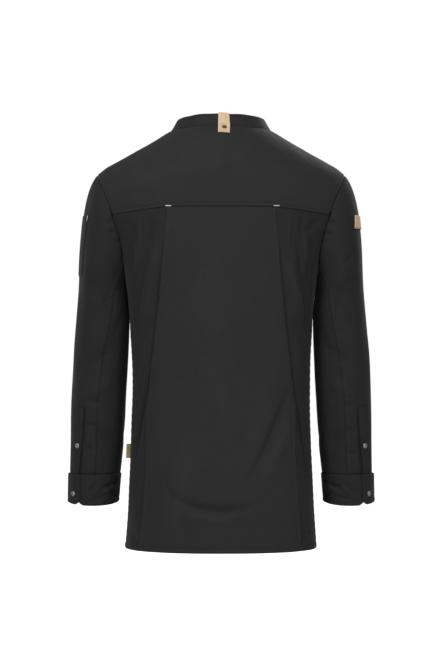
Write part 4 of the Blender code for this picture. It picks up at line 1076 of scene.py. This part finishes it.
# %% Side label
LABEL_TOP_Z, LABEL_HEIGHT, LABEL_REACH, LABEL_WALL = -0.590, 0.027, 0.0094, 0.0010
down, out = np.meshgrid(np.linspace(0, 1, 19), np.linspace(0, 1, 9), indexing="ij")
label_z = LABEL_TOP_Z - LABEL_HEIGHT * down
label_x = read(BODY, "side_z", "half_width", label_z) - 0.0008 + LABEL_REACH * out
label_y = 0.003 + 0.35 * LABEL_REACH * out + 0.0012 * np.sin(out * 2.2 + down * 1.2)
label_points = np.stack([label_x, label_y, label_z], axis=-1)
fat = (LABEL_WALL * np.clip(1.25 - out**6, 0, 1))[..., None] * (0, 1, 0)
label_flat = np.stack([LABEL_REACH * out, -LABEL_HEIGHT * down], axis=-1)
# Painted shade on the label where it goes into the side seam.
label_painted_shade = 1 - 0.35 * np.clip(1 - out * 4, 0, 1)
wall_between("woven_side_label", label_points + fat, label_points, label_flat, label_painted_shade, LABEL, "side_label")

# %% [markdown]
# ## Stitches
#
# Rows of stitches are thousands of equal grains of thread. One small ball with twenty faces is copied by an Array
# modifier, and each copy is stretched and turned to its place on a row, half sunk in the cloth as real thread is.


# %% Grains of thread
def grains(name, spots, ways, ups, long, thick, slot):
    """Grains of thread at spots, each along a way and lying flat on its normal."""
    shape = bmesh.new()
    bmesh.ops.create_icosphere(shape, subdivisions=1, radius=0.5)
    size = len(shape.verts)
    one = put(name + "_one", mesh_of(shape, name + "_one"))
    copies = one.modifiers.new("copies", "ARRAY")
    copies.use_relative_offset = False
    copies.count = len(spots)
    mesh = bpy.data.meshes.new_from_object(one.evaluated_get(bpy.context.evaluated_depsgraph_get()))
    bpy.data.objects.remove(one)
    mesh.name = name
    places = np.empty(len(mesh.vertices) * 3, np.float32)
    mesh.vertices.foreach_get("co", places)
    ball = places.reshape(len(spots), size, 3)
    ways = unit(ways - ups * np.sum(ways * ups, axis=1, keepdims=True))
    moved = spots[:, None] + ball[..., :1] * (long * ways)[:, None]
    moved = moved + ball[..., 1:2] * (thick * np.cross(ups, ways))[:, None]
    moved = moved + ball[..., 2:] * (0.8 * thick * ups)[:, None]
    mesh.vertices.foreach_set("co", moved.astype(np.float32).ravel())
    mesh.update()
    mesh.shade_smooth()
    set_tone(mesh, np.ones(len(spots) * size))
    put(name, mesh)
    MADE[name] = (slot, [])
    print(name, len(spots), "stitches")


# %% Sewing along rows
STITCH_EACH = 0.0033  # from one stitch to the next
BESIDE = 0.001  # how far before and after a stitch its way is read
OUTER_X = 0.24  # the stitches past this are a piece of their own, which keeps the pieces small
spots, ways, ups = [], [], []
for line, normal in STITCHES:
    run = run_of(line)
    at = np.arange(STITCH_EACH / 2, run[-1], STITCH_EACH)
    spots.append(taken(at, run, line))
    ways.append(taken(at + BESIDE, run, line) - taken(at - BESIDE, run, line))
    ups.append(unit(taken(at, run, normal)))
spots, ways, ups = (np.concatenate(parts) for parts in (spots, ways, ups))
inner = np.abs(spots[:, 0]) < OUTER_X
for name, chosen in (("thread_inner", inner), ("thread_outer", ~inner)):
    grains(name, spots[chosen], ways[chosen], ups[chosen], 0.0026, 0.00052, TWILL)

# %% [markdown]
# ## Bar tacks
#
# Where the princess seams end at the yoke, and at the mouth of the pen pocket, a bar tack of pale thread takes the
# strain: a dense zigzag that reads as one small bright bar.

# %% Bar tacks
TACK_Z = -0.1455
tacks = []  # (spots, ways, ups) of each


def bar_tack(seats, normals, lift):
    """A dense row of short threads laid side by side on the seats, each slanted against its neighbours."""
    run = unit(seats[-1] - seats[0])
    slant = 0.10 * (2 * (np.arange(len(seats)) % 2) - 1)[:, None]
    tacks.append((seats + lift * normals, np.cross(normals, run) + slant * run, normals))


for start_x, end_x in ((0.1022, 0.0922), (-0.0968, -0.1070)):
    places = place_on_body(np.linspace(start_x, end_x, 21), TACK_Z, 1).T
    bar_tack(body(*places), surface_normal(body_form, *places), 0.0010)
mouth = ((POCKET_REAR - 0.004, POCKET_REAR - 0.004), (POCKET_REAR, POCKET_REAR), POCKET_TOP_Z - 0.002, -0.1690)
low, high = (overlay_surface(1, *mouth, raised)(np.zeros(19), np.linspace(0, 1, 19))[0] for raised in (0.0014, 0.0024))
bar_tack(low, (high - low) / 0.001, 0.0005)
grains("thread_bar_tacks", *(np.concatenate(parts) for parts in zip(*tacks)), 0.0024, 0.00075, "")

# %% [markdown]
# ## Press studs and the rivet
#
# A press stud's cap is a turned disc: a rounded rim, a groove, and a low dome inside it. A spin makes such a shape: its
# outline is drawn once and swept round, and its middle is closed.

# %% Turned pieces
# From the middle under the rim, round it and up to the top, in shares of the radius and the height.
CAP = (
    (0.0, 0.0), (0.90, 0.0), (0.97, 0.10), (1.0, 0.30), (0.985, 0.50), (0.94, 0.64), (0.87, 0.70), (0.80, 0.66),
    (0.755, 0.55), (0.735, 0.46), (0.70, 0.46), (0.68, 0.56), (0.64, 0.74), (0.54, 0.88), (0.38, 0.96), (0.20, 0.99),
    (0.0, 1.0),
)
STUD, RIVET = (0.0050, 0.0022), (0.0044, 0.0013)  # radius and height


def skin_of(name):
    """Something to seat small pieces on: the faces of a finished panel."""
    mesh = bpy.data.objects[name].data
    points = [vertex.co.copy() for vertex in mesh.vertices]
    return BVHTree.FromPolygons(points, [face.vertices[:] for face in mesh.polygons])


def turned(name, skin, near, size, node, slot=STEEL):
    """A cap of a radius and a height, seated on the cloth at the point nearest to the one given."""
    radius, height = size
    shape = bmesh.new()
    line = [shape.verts.new((radius * out, 0, height * up)) for out, up in CAP]
    edges = [shape.edges.new(pair) for pair in zip(line[:-1], line[1:])]
    bmesh.ops.spin(shape, geom=line + edges, axis=(0, 0, 1), angle=2 * math.pi, steps=40, use_merge=True)
    bmesh.ops.remove_doubles(shape, verts=shape.verts[:], dist=1e-6)
    seat, normal, _, _ = skin.find_nearest(Vector(near))
    place = normal.to_track_quat("Z", "Y").to_matrix().to_4x4()
    place.translation = seat + normal * 0.0001
    bmesh.ops.transform(shape, matrix=place, verts=shape.verts[:])
    finished(name, shape, 60)
    MADE[name] = (slot, [node])


# %% Studs and rivet
placket_skin = skin_of("cloth_placket")
for i in range(7):
    near = body_form(0.0, place_on_body(0.0001, -0.095 - 0.1 * i, -1)[1]) - np.array([0, 0.01, 0])
    turned(f"front_cap_{i + 1}", placket_skin, near, STUD, f"front_stud_{i + 1}")
for word, side in SIDES:
    for cap, node, cloth, turn, z in (
        ("cuff_cap", "cuff_stud", "cloth_cuff", 0.119, -0.686),
        ("strip_cap", "placket_stud", "cloth_sleeve_placket", 0.134, -0.5945),
    ):
        near = tube(turn, z, 0.01) * (side, 1, 1)
        turned(f"{cap}_{word}", skin_of(f"{cloth}_{word}"), near, STUD, f"{node}_{word}")
turned("loop_rivet", skin_of("leather_neck_loop"), (-0.0063, 0.072, 0.0035), RIVET, "neck_loop_rivet", BROWN)

# %% [markdown]
# ## Finishes
#
# Twill is woven so that its threads step aside by one at each row, which gives fine diagonal ribs. The ribs and the
# uneven dye, which also carries painted shade in seams and creases, are made once as groups and used by every cloth
# with its own values. The groups give out only values: the shader itself stays in each material.


# %% Helpers for patterns
def group(name, inputs, outputs):
    """A new node group with its inputs, each (name, kind, value), and the names of its outputs."""
    made = bpy.data.node_groups.new(name, "ShaderNodeTree")
    for label, kind, value in inputs:
        socket = made.interface.new_socket(label, in_out="INPUT", socket_type="NodeSocket" + kind)
        if value is not None:
            socket.default_value = value
    for label in outputs:
        made.interface.new_socket(label, in_out="OUTPUT", socket_type="NodeSocketFloat")
    return made, made.nodes.new("NodeGroupInput").outputs, made.nodes.new("NodeGroupOutput")


def maths(what, a, b=0.0, c=0.0):
    """One Math node's result, in the tree of its first socket."""
    return add(a.id_data, "Math", {"operation": what}, i0=a, i1=b, i2=c).outputs[0]


def times_plus(a, b, c=0.0):
    """a times b, plus c."""
    return maths("MULTIPLY_ADD", a, b, c)


def clouds(at, scale, detail, roughness):
    """Noise at a place, from 0 to 1."""
    return add(at.id_data, "TexNoise", Vector=at, Scale=scale, Detail=detail, Roughness=roughness).outputs["Fac"]


# %% The weave
RIB_TURN, PICK_TURN = 6.2832, 12.566  # radians that one rib takes, and a pick across it
weave, given, weave_out = group(
    "twill_weave", [("Map", "Vector", None), ("Ribs", "Float", 1100.0), ("Slub", "Float", 0.4)], ["Height", "Shade"]
)
x, y, _ = add(weave, "SeparateXYZ", Vector=given["Map"]).outputs
slub = clouds(given["Map"], 160.0, 3.0, 0.6)
rib_way = times_plus(slub, 0.0016, times_plus(y, 1.7, x))
rib = maths("SINE", times_plus(times_plus(rib_way, given["Ribs"]), RIB_TURN))
pick = maths("SINE", times_plus(times_plus(times_plus(x, -0.6, y), given["Ribs"]), PICK_TURN))
threads = times_plus(pick, 0.25, rib)
rough = times_plus(maths("SUBTRACT", slub, 0.5), given["Slub"])
feed(weave_out, Height=times_plus(threads, 0.4, maths("ADD", rough, 0.5)))
feed(weave_out, Shade=times_plus(threads, 0.07, times_plus(rough, 0.35, 1.0)))

# %% Uneven dye, with painted shade in seams and creases, and wear on ridges and edges
dye_and_painted_shade, given, dye_and_painted_shade_out = group("uneven_dye_and_painted_shade", [("Place", "Vector", None), ("Patches", "Float", 0.10)], ["Shade"])
mixed = times_plus(clouds(given["Place"], 95.0, 3.0, 0.6), 0.5, clouds(given["Place"], 7.0, 4.0, 0.55))
patches = times_plus(maths("SUBTRACT", mixed, 0.75), given["Patches"], 1.0)
seam_wear_and_painted_shade = add(dye_and_painted_shade, "Attribute", {"attribute_name": "seam"}).outputs["Fac"]
feed(dye_and_painted_shade_out, Shade=times_plus(patches, seam_wear_and_painted_shade))


# %% Cloth materials
def linear(*srgb):
    """Screen values from 0 to 255 as linear light."""
    return [c / 255 / 12.92 if c <= 10.3 else ((c / 255 + 0.055) / 1.055) ** 2.4 for c in srgb]


def cloth_finish(name, colour, roughness, sheen, ribs, patches, weave_depth):
    """Woven cloth: ribs and crumple in the bump, uneven dye with painted shade of seams and creases in the colour."""
    material, tree, shader = new_finish(name)
    spot = add(tree, "TexCoord").outputs
    woven = add(tree, "Group", {"node_tree": weave}, Map=spot["UV"], Ribs=ribs, Slub=0.5).outputs
    dyed_and_shaded = add(tree, "Group", {"node_tree": dye_and_painted_shade}, Place=spot["Object"], Patches=patches).outputs["Shade"]
    base = add(tree, "VectorMath", {"operation": "SCALE"}, i0=colour, Scale=times_plus(woven["Shade"], dyed_and_shaded))
    crumple = clouds(spot["Object"], 42.0, 5.0, 0.55)
    soft = add(tree, "Bump", Strength=0.35, Distance=0.004, Height=crumple).outputs[0]
    fine = add(tree, "Bump", Strength=0.5, Distance=weave_depth, Height=woven["Height"], Normal=soft).outputs[0]
    feed(shader, Base_Color=base.outputs[0], Normal=fine, Roughness=times_plus(crumple, 0.16, roughness - 0.08))
    feed(shader, Specular_IOR_Level=0.20, Sheen_Weight=sheen, Sheen_Roughness=0.45, Sheen_Tint=(0.75, 0.78, 0.85, 1))
    return material


FINISH = {
    TWILL: cloth_finish("black_twill", (0.0118, 0.0118, 0.0119), 0.80, 0.06, 1100.0, 0.22, 0.00012),
    BACK_TWILL: cloth_finish("black_back_cloth", (0.0140, 0.0140, 0.0145), 0.76, 0.07, 1300.0, 0.18, 0.00010),
    LABEL: cloth_finish("woven_label", linear(150, 138, 104), 0.75, 0.10, 1500.0, 0.25, 0.00015),
}
THREAD = cloth_finish("black_thread", (0.012, 0.012, 0.013), 0.60, 0.10, 2500.0, 0.3, 0.00006)
TACK_THREAD = cloth_finish("pale_thread", linear(182, 182, 184), 0.55, 0.15, 2500.0, 0.3, 0.00006)

# %% [markdown]
# ## Leather and metal
#
# Vegetable-tanned leather has a fine pebbled grain, broad changes of tone, and paler cut edges. Stud caps are tumbled
# metal: grey, softly glossy, with darker patches where dirt and plating gather.


# %% Leather, studs and rivet
def two_tones(tree, share, dark, colour):
    """A colour between two, by a share."""
    return add(tree, "Mix", {"data_type": "RGBA"}, i0=share, i6=(*dark, 1), i7=(*colour, 1)).outputs[2]


def leather_finish(name, colour, dark):
    """Leather: pebbled grain, clouded colour, pale rims, and painted shade in the grooves of its stitched edges."""
    material, tree, shader = new_finish(name)
    spot = add(tree, "TexCoord").outputs["Object"]
    cloud = clouds(spot, 110.0, 4.0, 0.6)
    pebbles = add(tree, "TexVoronoi", {"feature": "DISTANCE_TO_EDGE"}, Vector=spot, Scale=1100.0).outputs[0]
    rubbed_and_painted_shade = add(tree, "Group", {"node_tree": dye_and_painted_shade}, Place=spot, Patches=0.3).outputs["Shade"]
    base = add(tree, "VectorMath", {"operation": "SCALE"}, i0=two_tones(tree, cloud, dark, colour), Scale=rubbed_and_painted_shade)
    grain = add(tree, "Bump", Strength=0.4, Distance=0.00015, Height=pebbles).outputs[0]
    feed(shader, Base_Color=base.outputs[0], Normal=grain, Roughness=times_plus(cloud, 0.25, 0.42))
    feed(shader, Specular_IOR_Level=0.35)
    return material


def metal_finish(name, colour, dark, roughness, metallic):
    """Tumbled metal: faint scratches and darker hollows."""
    material, tree, shader = new_finish(name)
    blotches = clouds(add(tree, "TexCoord").outputs["Object"], 420.0, 4.0, 0.6)
    scratch = add(tree, "Bump", Strength=0.2, Distance=0.00005, Height=blotches).outputs[0]
    feed(shader, Base_Color=two_tones(tree, blotches, dark, colour), Normal=scratch, Metallic=metallic)
    feed(shader, Roughness=times_plus(blotches, 0.3, roughness - 0.15))
    return material


FINISH[LEATHER] = leather_finish("tan_leather", linear(204, 183, 154), linear(170, 141, 108))
FINISH[STEEL] = metal_finish("grey_stud", linear(178, 178, 180), linear(120, 120, 122), 0.38, 1.0)
FINISH[BROWN] = metal_finish("brown_rivet", linear(120, 92, 66), linear(64, 46, 32), 0.45, 0.6)

# %% [markdown]
# ## Dressing the frame
#
# Each piece gets its finish, rides on the one body, and stands for the plain solid of its node.

# %% Finishes and bodies
THREADS = {"thread_inner": THREAD, "thread_outer": THREAD, "thread_bar_tacks": TACK_THREAD}
for name, (slot, nodes) in MADE.items():
    piece = bpy.data.objects[name]
    piece.data.materials.clear()
    piece.data.materials.append(THREADS[name] if name in THREADS else FINISH[slot])
    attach(piece, "root")
    if nodes:
        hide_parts(*nodes)

# %% Sizes and triangles, and the end
low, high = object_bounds()
print("visual size", [round(x, 4) for x in high - low])
faces = {o.name: sum(len(p.vertices) - 2 for p in o.data.polygons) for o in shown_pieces()}
print("triangles", sum(faces.values()), "largest", max(faces, key=faces.get), max(faces.values()))
